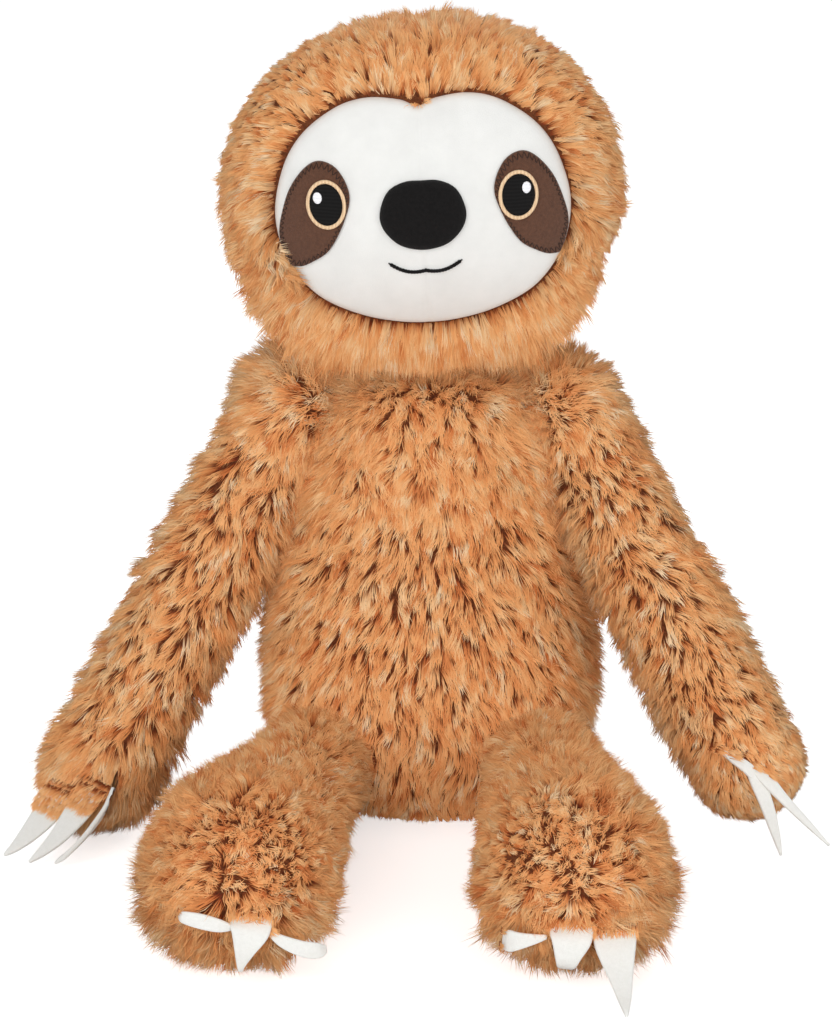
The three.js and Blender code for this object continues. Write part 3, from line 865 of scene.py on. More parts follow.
# %% Lines of the claws
CLAW_HALF_THICK = 1.2 * MM
TOWARDS_FRONT = (0, -1, 0.25)
CLAWS = {
    "right_foot_claw_3": (TOWARDS_FRONT, [
        (-105, -233, 32.4, 1.2), (-103, -236, 32.6, 2.6), (-96, -238, 31.6, 3.2), (-89, -238, 29.8, 2.8),
        (-84, -236, 28.2, 1.4)]),
    "right_foot_claw_2": (TOWARDS_FRONT, [
        (-75.6, -233, 31, 9.2), (-76, -238, 27, 8.2), (-78, -239.5, 20, 4.9), (-79.5, -239, 14, 2.4),
        (-80.3, -238, 9.5, 0.8)]),
    "right_foot_claw_1": (TOWARDS_FRONT, [
        (-68, -235, 25.5, 1.2), (-62, -238, 22.6, 2.6), (-54, -238.5, 19.6, 3.4), (-48, -237, 18.2, 3.4),
        (-45, -234, 17.8, 1.8)]),
    "left_foot_claw_1": (TOWARDS_FRONT, [
        (30, -233, 21.6, 3.2), (31.8, -236, 22.2, 4.6), (36, -238, 23.0, 3.6), (42, -238.5, 24.0, 2.2),
        (47, -237, 24.4, 1.0)]),
    "left_foot_claw_2": (TOWARDS_FRONT, [
        (57.6, -234, 28, 9.4), (57.4, -239, 24, 8.6), (56.2, -241, 18, 6.0), (55.6, -240, 13.5, 4.4),
        (55.4, -236, 10.8, 3.6)]),
    "left_foot_claw_3": (TOWARDS_FRONT, [
        (75.6, -235, 25, 9.2), (76, -240, 20.5, 8.4), (77.6, -248, 12, 5.4), (78.8, -257, 5.5, 3.0),
        (79.3, -266, 1.6, 0.7)]),
    "right_hand_claw_3": ((-0.35, -0.75, 0.75), [
        (-172, -70, 26, 7.6), (-177, -76, 19, 7.0), (-184, -82, 12, 4.8), (-190, -86, 7, 2.6),
        (-195, -88, 3.6, 0.7)]),
    "right_hand_claw_2": ((-0.35, -0.8, 0.7), [
        (-156, -76, 29, 6.6), (-162, -82, 22, 6.4), (-170, -88, 13, 4.4), (-177, -92, 7, 2.4),
        (-183, -94, 2.6, 0.7)]),
    "right_hand_claw_1": ((0.75, 0.1, -0.1), [
        (-146, -74, 30, 5.2), (-150, -80, 22, 5.2), (-157, -88, 14, 3.8), (-165, -94, 7, 2.2),
        (-171, -96, 2.8, 0.7)]),
    "left_hand_claw_1": ((0.2, -0.9, 0.45), [
        (129.9, -113, 62.1, 1), (134.5, -117, 60.2, 2), (139.7, -119, 57.2, 2.6),
        (144.7, -119.5, 52.2, 2.6), (147.7, -118, 46, 1)]),
    "left_hand_claw_2": ((0.25, -0.95, 0.2), [
        (141.6, -118, 56.4, 2.4), (145.1, -121, 50.4, 3.4), (148.7, -123, 41.7, 3.1),
        (152.6, -122, 29.5, 2.3), (156.3, -120, 15.9, 0.6)]),
    "left_hand_claw_3": ((0.3, -0.9, 0.35), [
        (143.4, -118, 56.4, 2.2), (149, -121, 51.8, 3), (156.6, -123, 43.5, 2.3),
        (166.4, -122, 32.8, 1.6), (177.6, -120, 20.6, 0.6)]),
}


def smooth_line(stations, steps=8):
    """An open smooth curve through stations."""
    p = np.asarray(stations, float)
    padded = np.vstack([2 * p[0] - p[1], p, 2 * p[-1] - p[-2]])
    t = np.linspace(0, 1, steps, endpoint=False)[:, None]
    curves = [between(*four, t) for four in zip(padded, padded[1:], padded[2:], padded[3:])]
    return np.vstack([*curves, p[-1:]])


CLAW_BARE = 0.95
CLAW_TOP = 0.45
CLAW_OVER = 4 * MM
CLAW_NEAR = 10 * MM
LIES_ACROSS = 0.85
TUCKED_IN = {"right_hand": 17, "left_hand": 9, "right_foot": 6, "left_foot": 6}
claw_lines = []
for name, (_, stations) in CLAWS.items():
    hand_or_foot = name[:name.index("_claw")]
    claw_lines.append(smooth_line(stations, 12)[TUCKED_IN[hand_or_foot]:] * MM)
claw_line = np.vstack(claw_lines)
claw_way = unit(np.vstack([np.gradient(line[:, [0, 2]], axis=0) for line in claw_lines]))


def claw_frame(facing, stations):
    """A claw's path and half widths, and the ways ahead, across it and out of its flat side."""
    line = smooth_line(stations)
    path = line[:, :3] * MM
    ahead = unit(np.gradient(path, axis=0))
    across = unit(np.cross(np.array(facing, float), ahead))
    return path, line[:, 3] * MM, ahead, across, np.cross(ahead, across)


def clear_of_claws(fibres):
    """Which fibres neither end nor bend in front of a claw."""
    clear = np.ones(len(fibres), bool)
    low, high = claw_line[:, :3].min(0) - CLAW_NEAR, claw_line[:, :3].max(0) + CLAW_NEAR
    half = claw_line[:, 3]
    bends, tips = fibres[:, 3:6].mean(1), fibres[:, 6]
    for points in (bends, tips, (bends + tips) / 2):
        # in 40 lots, because every fibre is compared with every point of the claws
        for lot in np.array_split(np.flatnonzero(((points > low) & (points < high)).all(1)), 40):
            gap = points[lot][:, None] - claw_line[:, :3]
            along = np.abs(gap[..., 0] * claw_way[:, 0] + gap[..., 2] * claw_way[:, 1])
            across = np.abs(gap[..., 0] * claw_way[:, 1] - gap[..., 2] * claw_way[:, 0])
            over = (along < MM) & (across < CLAW_BARE * half) & (gap[..., 1] < CLAW_OVER)
            clear[lot[(over & (gap[..., 2] < CLAW_TOP * half)).any(1)]] = False
    return clear


print("points along the claws:", len(claw_line))

# %% [markdown]
# ### How the pile lies
# On the body the fur falls down and out. On the arms and legs it runs towards the hands and feet, and on
# the soles it stands up and opens outward. On the head it starts at the face and lies back from it, a
# small peak points down over the brow, and below the chin it hangs as a collar.
#
# Each brush function below starts from pile that leans 40 degrees at the root and 64 at the tip, and
# changes what it must: the way it lies, how far it stands up, its length, its shade, how loose it is,
# and how far its shading is turned. Shares from 0 to 1 say where each change holds, such as near the
# face. At the end everything is ruffled by smooth random numbers, because no hand brushes evenly.

# %% Pile of the body and neck
BURIED = 5 * MM
UNDER_LIMB = 14 * MM
TUFT_GAP = 2.55 * MM
PILE_MM = {"torso": 13.5, "head": 14.5, "arm": 13.5, "leg": 13.5, "neck": 15}
SHADE = {"torso": 0.47, "head": 0.47, "arm": 0.52, "leg": 0.42, "neck": 0.45}
DOWN = np.array([0, 0, -1.0])


def ease(value, start, end):
    """0 before start, 1 beyond end, and evenly between them."""
    return np.clip((np.asarray(value) - start) / (end - start), 0, 1)


def stand_up(lie, share, root, tip):
    """Raises the pile where share is 1, by degrees at its root and at its tip. Less than 0 lays it down."""
    lie["root"] -= share * np.radians(root)
    lie["tip"] -= share * np.radians(tip)


def brush_neck(lie, roots, normals):
    """Out and down all round."""
    lie["way"] = roots - NECK + [0, 0, -0.02]
    stand_up(lie, 1.0, 0, 30)


def brush_torso(lie, roots, normals):
    """Down and a little out, forward over the chest, and standing where the head comes near."""
    top = ease(normals[:, 2], 0.2, 0.8)
    ahead = 1 - 2 * ease(roots[:, 1], 15 * MM, 35 * MM)
    lie["way"] = DOWN + np.stack([0.22 * roots[:, 0] / TORSO_HALF[0], -1.3 * top * ahead, 0 * top], -1)
    wide = ease(np.abs(roots[:, 0]), 25 * MM, 50 * MM)
    stand_up(lie, top * wide, 24, 34)
    lie["length"] += (2 + 11 * wide) * MM * top
    lie["length"] -= 9 * MM * ease(roots[:, 2], 25 * MM, 0)
    lie["turned"] += ease(roots[:, [2]], 130 * MM, 60 * MM) * [0, -0.25, 0.45]
    flank = ease(np.abs(normals[:, 0]), 0.6, 0.9) * ease(roots[:, 2], 150 * MM, 100 * MM)
    stand_up(lie, flank, 12, 14)


# %% Pile of the head
FRINGE = 9 * MM
PATCH_CORNER = np.array([65, -22]) * MM
PATCH_TUFTS = 9 * MM
PEAK_HALF = 3.2 * MM


def brush_head(lie, roots, normals):
    """Out from the face and back over the head, down at its sides, and hanging below it."""
    local = from_head(roots)
    outward = unit((local - [0, 0, -FACE_DROP]) * [1, 0, 1])
    back = ease(local[:, 1], 0, HEAD_HALF[1])
    way = outward * (1 - 0.6 * back)[:, None] + [0, 0.55, -0.25]
    way = way + 0.9 * np.abs(normals[:, [0]]) * DOWN
    lie["spread"] *= 0.82
    lie["loose"] += 0.16
    # the fringe around the face stands up, most at the chin, and its tufts are painted paler: painted light
    # over the shade and the dark roots at the face's edge
    near = ease(beyond_face(local), FRINGE, 0)
    stand_up(lie, near, 14, 18)
    lie["spread"] *= 1 - 0.5 * near
    lie["shade"] += 0.12 * near
    stand_up(lie, near * ease(-local[:, 2], 22 * MM, 42 * MM), 12, 24)
    # flatter and shorter at the head's upper corners
    corner = np.clip(2.2 * np.abs(normals[:, 0]) * normals[:, 2], 0, 1)
    stand_up(lie, corner, -16, -8)
    lie["length"] -= corner * np.where(normals[:, 0] < 0, 7, 5) * MM
    lie["length"] -= 2 * MM * np.clip(normals[:, 2], 0, 1)
    # the collar hangs down, longest beside the neck, and is painted a little paler: painted light in the
    # shade under the head
    down = -local[:, 2] / HEAD_HALF[2]
    low = ease(down, 0.5, 0.95) * (1 - near)
    wide = ease(np.abs(local[:, 0]), 20 * MM, 45 * MM)
    lie["length"] += 5 * MM * low + 10 * MM * low * wide * ease(local[:, 1], -35 * MM, -15 * MM)
    lie["shade"] += 0.03 * low
    lie["turned"] += ease(down, 0.4, 0.8)[:, None] * [0, -0.6, 0.3]
    stand_up(lie, low, 36, 54)
    way = way + 0.6 * low[:, None] * DOWN
    # the toy's right cheek is fuller than its left one
    cheek = ease(local[:, 2], -10 * MM, -30 * MM)
    lie["length"] += cheek * MM * (3 * ease(-normals[:, 0], 0.3, 1) - 5 * ease(normals[:, 0], 0.3, 0.8))
    # the peak over the brow, and tufts over the patches' lower corners
    peak = near * np.exp(-(local[:, 0] / PEAK_HALF) ** 2) * (local[:, 2] > 0)
    way = way + 2.2 * peak[:, None] * DOWN
    lie["length"] -= 7 * MM * peak
    off = (np.stack([np.abs(local[:, 0]), local[:, 2]], -1) - PATCH_CORNER) / PATCH_TUFTS
    over_patch = near * np.exp(-(off**2).sum(1)) * np.where(local[:, 0] < 0, 1, 0.7)
    lie["way"] = way - 4 * over_patch[:, None] * outward
    stand_up(lie, over_patch, -32, -75)


# %% Pile of the limbs
def turned_with(limb, ways):
    """Directions on a hanging limb, as they point on the toy."""
    return along_limb(limb, ways) - along_limb(limb, np.zeros(3))


def brush_arm(lie, roots, normals, limb, local, end):
    """Standing on the shoulder, combed flat along the front, and as full outside as the photo shows."""
    root = ease(local[:, 2], -14 * MM, 0)
    outside = limb["side"] * normals[:, 0]
    inner = ease(-outside, 0.3, 0.8) * (1 - root)
    stand_up(lie, root, 6 + 10 * normals[:, 2], 8 + 14 * normals[:, 2])
    stand_up(lie, inner, 12, 14)
    lie["length"] += limb["top"] * MM * root * np.clip(normals[:, 2], 0, 1)
    lie["length"] += 6 * MM * root * np.clip(0.2 - outside, 0, 1)
    share = -local[:, 2] / (limb["length"] * MM)
    flat = np.clip(outside, 0, 1) * np.interp(share, [0.1, 0.9], limb["flatter"])
    stand_up(lie, flat, -1, -1 / 3)
    lie["length"] -= limb["hand_trim"] * MM * end
    stand_up(lie, np.clip(-normals[:, 1], 0, 1) * (1 - root), -12, -12)
    return root[:, None] * [0.8 * limb["side"], -0.8, 0]


def brush_leg(lie, roots, normals, limb, local, end):
    """Ruffled every way on the sole, longer at its lower corners, and short just under the lying claws,
    where the dark roots and backing show as painted shadow.
    """
    outside = limb["side"] * normals[:, 0]
    lie["loose"] += 1.3 * end
    thigh = np.clip(outside, 0, 1) * ease(normals[:, 2], 0, 0.5) * (1 - end)
    stand_up(lie, end, 22, 28)
    stand_up(lie, thigh, 12, 14)
    lie["turned"] += 0.55 * turned_with(limb, DOWN) * (1 - end[:, None]) + [0, -0.1, 0.2]
    low = end * ease(-normals[:, 2], -0.2, 0.6)
    lie["length"] -= 2 * MM * end + 8 * MM * np.clip(-outside, 0, 1) * end * (1 - low)
    lie["length"] += 3 * MM * low + 13 * MM * low * np.abs(normals[:, 0])
    # a band just under each lying claw gets short tufts, so that the dark roots and backing show there as
    # painted shadow under the claw
    claw_shadow_band = claw_line[np.abs(claw_way[:, 0]) > LIES_ACROSS][:, [0, 2]] - [0, 4 * MM]
    close = np.linalg.norm(roots[:, None, [0, 2]] - claw_shadow_band, axis=-1).min(1)
    lie["length"] -= 7 * MM * ease(close, 5 * MM, 2 * MM) * (end > 0)
    return (0.35 * end)[:, None] * unit(local * [1, 1, 0])


def brush_limb(lie, roots, normals, name):
    """Towards the hand or foot, with what its kind of limb adds."""
    limb = LIMBS[name.removesuffix("_cap")]
    local = back_along_limb(limb, roots)
    end = ease(-local[:, 2] / (limb["length"] * MM), 0.82, 1.12)
    brush = brush_arm if kind_of(name) == "arm" else brush_leg
    way = DOWN + 0.15 * unit(local * [1, 1, 0]) + brush(lie, roots, normals, limb, local, end)
    lie["way"] = turned_with(limb, way)


# %% Brushing and ruffling
LEAN_ROOT, LEAN_TIP = 40.0, 64.0
MOST_LEAN_ROOT, MOST_LEAN_TIP = 1.4, 2.2


def kind_of(name):
    """torso, head, neck, arm or leg, for a skin's name."""
    return next(kind for kind in ("torso", "head", "neck", "arm", "leg") if kind in name)


def nearest_part(name, roots):
    """The depth of each root in the nearest arm, leg or body, less than 0 outside them."""
    depths = [depth_in_limb(limb, roots) for other, limb in LIMBS.items() if not name.startswith(other)]
    if name != "torso":
        depths.append(depth_in_torso(roots))
    return np.max(depths, 0)


def brushed(name, roots, normals, rng):
    """How the tufts of a part lie: their nap, their leans at root and tip, length, shade and spread."""
    count, kind = len(roots), kind_of(name)
    lie = {"root": np.full(count, np.radians(LEAN_ROOT)), "tip": np.full(count, np.radians(LEAN_TIP)),
           "length": np.full(count, PILE_MM[kind] * MM), "spread": np.ones(count), "loose": np.zeros(count),
           "shade": np.full(count, SHADE[kind]), "turned": np.zeros((count, 3))}
    if kind in ("arm", "leg"):
        brush_limb(lie, roots, normals, name)
    else:
        {"torso": brush_torso, "head": brush_head, "neck": brush_neck}[kind](lie, roots, normals)
    # near where another part meets this one the tufts get painted shade for the crease, except high on the
    # shoulders, and on the body and arms they are shorter there
    crease = ease(nearest_part(name, roots), -11 * MM, -1 * MM)
    lie["shade"] -= 0.3 * crease * ease(roots[:, 2], 190 * MM, 160 * MM)
    lie["length"] -= 3.5 * MM * crease * (kind in ("torso", "arm"))
    sway = drift(roots, 26, rng) * 0.35 + drift(roots, 11, rng) * (0.3 + lie["loose"])
    nap = unit(lie["way"] - (lie["way"] * normals).sum(-1, keepdims=True) * normals)
    ruffled = rng.normal(0, 1, (count, 3)) * (0.16 + 0.5 * lie["loose"])[:, None]
    nap = unit(nap + sway[:, None] * np.cross(normals, nap) + ruffled)
    nap = unit(nap - (nap * normals).sum(-1, keepdims=True) * normals)
    ruffle = np.radians(9) * drift(roots, 14, rng)
    lean_root = lie["root"] + ruffle + rng.normal(0, np.radians(7), count)
    lean_tip = lie["tip"] + ruffle + rng.normal(0, np.radians(9), count)
    return {
        "root": roots, "normal": normals, "nap": nap, "spread": lie["spread"], "turned": lie["turned"],
        "lean_root": np.clip(lean_root, 0, MOST_LEAN_ROOT), "lean_tip": np.clip(lean_tip, 0, MOST_LEAN_TIP),
        "length": lie["length"] * (1 + 0.1 * drift(roots, 9, rng) + rng.normal(0, 0.08, count)),
        "shade": lie["shade"] + 0.14 * drift(roots, 10, rng) + rng.normal(0, 0.19, count),
    }


print("pile lengths in mm:", PILE_MM)

# %% [markdown]
# ### Rows that hide an edge
# Two edges would show bare cloth, so each gets rows of its own, as a maker teases pile out of a seam with
# a needle. One close row runs around the face. Short rows lie over the sewn end of each claw, and they
# are pieces of the claw's own, so that they follow it when it bends.

# %% Tufts over the claws
CUFF_STEP = 1.3 * MM
CUFF_ROWS = {"hand": np.array([-4.5, -1, 3, 7]) * MM, "foot": np.array([3.5]) * MM}
CUFF_RAISED = 1.2 * MM
CUFF_SINKS = 0.45
CUFF_SINKS_FROM = 3 * MM
CUFF_PILE = 8.5 * MM


def over_claw(claw):
    """Rows of short tufts that cover the sewn edge of a claw, in the form that grow_fibres takes."""
    facing = CLAWS[claw][0]
    path, half, ahead, across, out = claw_frame(*CLAWS[claw])
    out = out * np.sign((out * np.array(facing, float)).sum(-1, keepdims=True))
    up = across * np.sign(across[:, 2:])
    share = np.linspace(-1, 1, 2 + int(2 * half[2] / CUFF_STEP))[:, None]
    rows = []
    for behind in CUFF_ROWS["hand" if "hand" in claw else "foot"]:
        if abs(ahead[:, 0]).mean() > LIES_ACROSS:
            at, normal, way = path + up * (half[:, None] + behind), out, -up
        else:
            at = path[0] + share * across[0] * half[3] - ahead[0] * behind
            normal, way = out[0] + 0 * at, ahead[0] + 0 * at
        sunk = CUFF_SINKS * max(behind - CUFF_SINKS_FROM, 0)
        rows.append((at + normal * (CUFF_RAISED - sunk), normal, way))
    roots, normals, ways = (np.vstack(part) for part in zip(*rows))
    count = len(roots)
    return {"root": roots, "normal": normals, "nap": ways, "spread": np.full(count, 0.6),
            "turned": np.zeros((count, 3)),
            "lean_root": rng.normal(1.25, 0.08, count), "lean_tip": rng.normal(1.42, 0.08, count),
            "length": CUFF_PILE * rng.uniform(0.8, 1.15, count), "shade": rng.normal(0.5, 0.15, count)}


# %% The row along the face
EDGE_ROW = 0.8 * MM
EDGE_STEP = 1.5 * MM
EDGE_SUNK = 2.2 * MM


def row_along_face(rng):
    """Roots and normals of one close row of tufts just outside the face, so no backing shows there."""
    steps = int(np.linalg.norm(np.diff(face_edge, axis=0), axis=1).sum() / EDGE_STEP)
    at = np.linspace(0, len(face_edge), steps, endpoint=False) + rng.uniform(-0.3, 0.3, steps)
    at = at % len(face_edge)
    loop = np.vstack([face_edge, face_edge[:1]])
    flat = np.stack([np.interp(at, np.arange(len(loop)), loop[:, k]) for k in (0, 1)], -1)
    flat = flat + unit(flat - face_middle) * EDGE_ROW

    def in_backing(ahead):
        """Whether the points so far ahead still lie in the backing."""
        return depth_in_head(to_head(put_ahead(flat, ahead))) > -BACKING_THICK

    roots = put_ahead(flat, front_of(steps, in_backing))
    normals = turn_y(unit(roots / HEAD_HALF), -HEAD_ROLL)
    return to_head(roots) - EDGE_SUNK * normals, normals


# %% [markdown]
# ### Where the fur grows
# No fur grows under the face, or deep inside another part, where it would only fill the toy. It does
# grow on the skin that a limb lies on, to a depth of 14 mm, because a limb that is lifted bares it. On
# tight curves the tufts fan apart, so twice as many are planted there.

# %% Where the fur grows
def bends_sharply(name, roots, normals):
    """Where tufts fan apart on a tight curve, so that a second lot is planted between them."""
    if name == "torso":
        return (normals[:, 2] > 0.1) & (roots[:, 2] > 0.15)
    if name == "head":
        return beyond_face(from_head(roots)) < 14 * MM
    if name in LIMBS:
        share = -back_along_limb(LIMBS[name], roots)[:, 2] / (LIMBS[name]["length"] * MM)
        return (share < 0.12) | (share > (0.85 if kind_of(name) == "leg" else 0.93))
    return np.zeros(len(roots), bool)


def grows_here(name, roots, normals):
    """Where a part's skin is free: not inside another part, nor under the face."""
    free = np.ones(len(roots), bool)
    if name != "torso":
        free &= depth_in_torso(roots) < (UNDER_LIMB if kind_of(name) == "leg" else BURIED)
    if name == "head":
        free &= beyond_face(from_head(roots)) > 0.3 * MM
    else:
        free &= depth_in_head(roots) < BURIED
    if name.endswith("_cap"):
        joint = NECK if name == "neck_cap" else np.array(LIMBS[name.removesuffix("_cap")]["root"]) * MM
        free &= ((roots - joint) * normals).sum(1) > 0
    for other, limb in LIMBS.items():
        if not name.startswith(other):
            free &= depth_in_limb(limb, roots) < (UNDER_LIMB if name == "torso" else BURIED)
    return free


# %% [markdown]
# Each skin's fur is cut into pieces of at most 22,000 fibres, so that no mesh grows too large. A piece
# rides on the same body as its skin.

# %% Growing the fur
def grown(tufts):
    """The fibres of a lot of tufts, without those that would cross a claw."""
    fibres, soft, shades = grow_fibres(tufts, rng)
    clear = clear_of_claws(fibres)
    return fibres[clear], soft[clear], shades[clear]


def fur_piece(name, fibres, soft, shades, body):
    """One piece of fur on a body, as plush that casts no shadow. Gives back how many fibres it has."""
    fur = fibre_mesh(name, fibres, soft, shades)
    fur.data.materials.append(pile)
    fur.visible_shadow = False
    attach(fur, body)
    return len(fibres)


rng = np.random.default_rng(7)
fibre_total = 0
riders = {name: body for name, (body, _) in COVERS.items()}
riders.update({name: body for name, (_, body, _) in CAPS.items() if name != "neck_cap"})
for name, body in riders.items():
    points, faces = skins[name]
    roots, normals = spread_tufts(points, faces, TUFT_GAP, rng)
    more_roots, more_normals = spread_tufts(points, faces, TUFT_GAP, rng)
    sharp = bends_sharply(name, more_roots, more_normals)
    roots, normals = np.vstack([roots, more_roots[sharp]]), np.vstack([normals, more_normals[sharp]])
    free = grows_here(name, roots, normals)
    roots, normals = roots[free], normals[free]
    if name == "head":
        row, row_normals = row_along_face(rng)
        roots, normals = np.vstack([row, roots]), np.vstack([row_normals, normals])
    fibres, soft, shades = grown(brushed(name, roots, normals, rng))
    lots = int(np.ceil(len(fibres) / MOST_FIBRES))
    for lot in range(lots):
        cut = slice(lot * len(fibres) // lots, (lot + 1) * len(fibres) // lots)
        fibre_total += fur_piece(f"{name}_pile_{lot + 1}", fibres[cut], soft[cut], shades[cut], body)
    print(name, "tufts:", len(roots), "fibres:", len(fibres), "pieces:", lots)
for claw in CLAWS:
    fibre_total += fur_piece(f"{claw}_tufts", *grown(over_claw(claw)), claw)
print("fibres in all:", fibre_total)

# %% [markdown]
# ## The face
# The face is two halves of white cloth, sewn down the middle and eased over the muzzle. Sewn pieces are
# all made the same way here: an outline is filled with rings of points, each ring is laid on the head at
# its height above the stuffing, and the edge is rounded over like cloth with a seam under it.

# %% Laying pieces on the head
RIM_RINGS = np.array([0.6, 0.3, 0.1, 0])


def on_head(flat, height):
    """Points on the head's front at (across, up) places and a height above the stuffing."""
    flat = np.asarray(flat, float)
    height = np.broadcast_to(height, flat.shape[:-1])

    def under_height(ahead):
        """Whether the points so far ahead still lie below the height."""
        point = put_ahead(flat, ahead)
        away = np.linalg.norm(point, axis=-1)
        return away < head_reach(point / away[..., None], height)

    return to_head(put_ahead(flat, front_of(flat.shape[:-1], under_height)))


def layer_height(flat, share, start, low, high, relief):
    """The height of a ring of cloth: flat to the share start, then rounded down to the edge."""
    lift = relief(flat) if relief else 0
    if share <= start:
        return high + lift
    fall = (share - start) / (1 - start)
    return low + (high + lift - low) * (0.35 + 0.65 * np.sqrt(np.clip(1 - fall**2, 0, 1)))


def sewn_piece(name, edge, low, high, rounding, rings, relief=None):
    """A closed piece of cloth within an edge, from a low to a high layer on the head."""
    middle = edge.mean(0)
    start = 1 - rounding / np.linalg.norm(edge - middle, axis=1).mean()
    rim = 1 - (1 - start) * RIM_RINGS
    rows = []
    for share in np.concatenate([np.linspace(0, start, rings + 1)[1:], rim]):
        flat = middle + share * (edge - middle)
        rows.append(on_head(flat, layer_height(flat, share, start, low, high, relief)))
    rows.append(on_head(edge, low))
    top = on_head(middle, high + (relief(middle[None])[0] if relief else 0))
    bottom = on_head(middle, low)
    points = np.vstack([top[None], *rows, bottom[None]])
    faces = globe_faces(len(rows), len(edge))
    if np.cross(edge[1] - middle, edge[0] - middle) > 0:
        faces = [face[::-1] for face in faces]
    return mesh_piece(name, points, faces)


def seam_relief(flat):
    """The face's middle seam: a narrow crease, deeper towards the chin."""
    crease = np.exp(-((flat[..., 0] / (0.7 * MM)) ** 2))
    return -crease * MM * np.where(flat[..., 1] < -22 * MM, 0.55, 0.25)


FACE_LOW, FACE_HIGH = 0.2 * MM, 4 * MM
FACE_ROUNDING = 3 * MM
face = sewn_piece("white_face", face_edge, FACE_LOW, FACE_HIGH, FACE_ROUNDING, 40, seam_relief)
face.data.materials.append(face_cloth)
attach(face, "head")
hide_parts("face_panel_left", "face_panel_right")
print("face points:", len(face.data.vertices))

# %% [markdown]
# ### Eye patches
# Each eye sits on a slanted patch of brown felt, sewn down by machine with a close zigzag in darker
# thread. The zigzag is a real tube of thread, because at this size its loops catch the light.

# %% Patches and their stitching
PATCH_HALF = np.array([17, 25]) * MM
PATCH_ACROSS = 48 * MM
PATCH_SHARES = [
    (-0.22, 0.88), (-0.68, 0.72), (-0.95, 0.28), (-0.76, -0.2), (-0.35, -0.7), (0.1, -0.93), (0.49, -1.04),
    (0.85, -0.96), (0.97, -0.48), (0.88, -0.1), (0.62, 0.38), (0.2, 0.75),
]
PATCH_LOW, PATCH_HIGH = 4.1 * MM, 5.4 * MM
PATCH_INSIDE = 0.5 * MM
PATCH_ROUNDING = 0.8 * MM
STITCH_PITCH = 1.3 * MM
STITCH_OUT, STITCH_IN = 0.985, 0.87
STITCH_HALF = 0.22 * MM


def thread_tube(name, path, half_wide, half_high, sides=6, closed=False, swell=None):
    """A thread along a path of points on the face: an oval tube, with closed ends."""
    path = np.asarray(path)
    if closed:
        ahead = unit(np.roll(path, -1, 0) - np.roll(path, 1, 0))
    else:
        ahead = unit(np.gradient(path, axis=0))
    outward = unit(path - to_head(np.zeros(3)))
    side = unit(np.cross(ahead, outward))
    lift = np.cross(side, ahead)
    size = np.ones(len(path)) if swell is None else swell
    turns = np.linspace(0, 2 * np.pi, sides, endpoint=False)
    rows = []
    for t in turns:
        rows.append(path + size[:, None] * (half_wide * np.cos(t) * side + half_high * np.sin(t) * lift))
    points = np.stack(rows, 1).reshape(-1, 3)
    count = len(path)
    faces = []
    for at in range(count if closed else count - 1):
        low, high = at * sides, (at + 1) % count * sides
        faces += [(low + s, low + (s + 1) % sides, high + (s + 1) % sides, high + s) for s in range(sides)]
    if not closed:
        faces += [tuple(range(sides))[::-1], tuple((count - 1) * sides + s for s in range(sides))]
    return mesh_piece(name, points, faces)


def even_loop(edge, pitch):
    """The same closed outline as an even number of points, about pitch apart."""
    closed = np.vstack([edge, edge[:1]])
    run = np.concatenate([[0], np.cumsum(np.linalg.norm(np.diff(closed, axis=0), axis=1))])
    at = np.linspace(0, run[-1], int(run[-1] / pitch) // 2 * 2, endpoint=False)
    return np.stack([np.interp(at, run, closed[:, k]) for k in (0, 1)], -1)


for side_name, side in (("left", 1), ("right", -1)):
    shares = np.array(PATCH_SHARES) * PATCH_HALF + [PATCH_ACROSS, 0]
    edge = smooth_loop(shares) * [side, 1]
    # the patch ends inside the face's own edge
    away = beyond_face(put_ahead(edge, np.ones(len(edge)))) + PATCH_INSIDE
    from_middle = edge - face_middle
    keep_in = 1 - np.maximum(away, 0) / np.linalg.norm(from_middle, axis=1)
    edge = face_middle + from_middle * keep_in[:, None]
    patch = sewn_piece(f"felt_patch_{side_name}", edge, PATCH_LOW, PATCH_HIGH, PATCH_ROUNDING, 14)
    patch.data.materials.append(brown_felt)
    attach(patch, "head")
    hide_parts(f"eye_patch_{side_name}")

    needle = even_loop(edge, STITCH_PITCH)
    centre = edge.mean(0)
    inset = np.where(np.arange(len(needle)) % 2, STITCH_OUT, STITCH_IN)[:, None]
    zigzag = smooth_loop(centre + (needle - centre) * inset, 3)
    stitches = thread_tube(f"patch_stitching_{side_name}", on_head(zigzag, PATCH_HIGH + 0.1 * MM),
                           STITCH_HALF, STITCH_HALF, 5, True)
    stitches.data.materials.append(brown_thread)
    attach(stitches, "head")
    print(patch.name, "stitches:", len(needle) // 2)

# %% [markdown]
# ### Embroidered eyes
# The rings, pupils and glints are satin stitch: threads laid side by side until they stand up as a
# smooth ridge. The ring's ridge swells and narrows a little at every thread.

# %% Eyes
EYE = np.array([42.5, 3]) * MM
RING_HALF = np.array([8.15, 10.15]) * MM
RING_POINTS = 440
RING_HALF_WIDE, RING_HALF_HIGH = 0.9 * MM, 0.6 * MM
POINTS_PER_THREAD = 4
PUPIL_HALF = np.array([7.4, 9.4]) * MM
GLINT = np.array([46.2, 6]) * MM
GLINT_HALF = np.array([2.0, 2.6]) * MM


def oval_edge(centre, half, count):
    """An oval outline about a centre."""
    turn = np.linspace(0, 2 * np.pi, count, endpoint=False)
    return centre + half * np.stack([np.cos(turn), np.sin(turn)], -1)


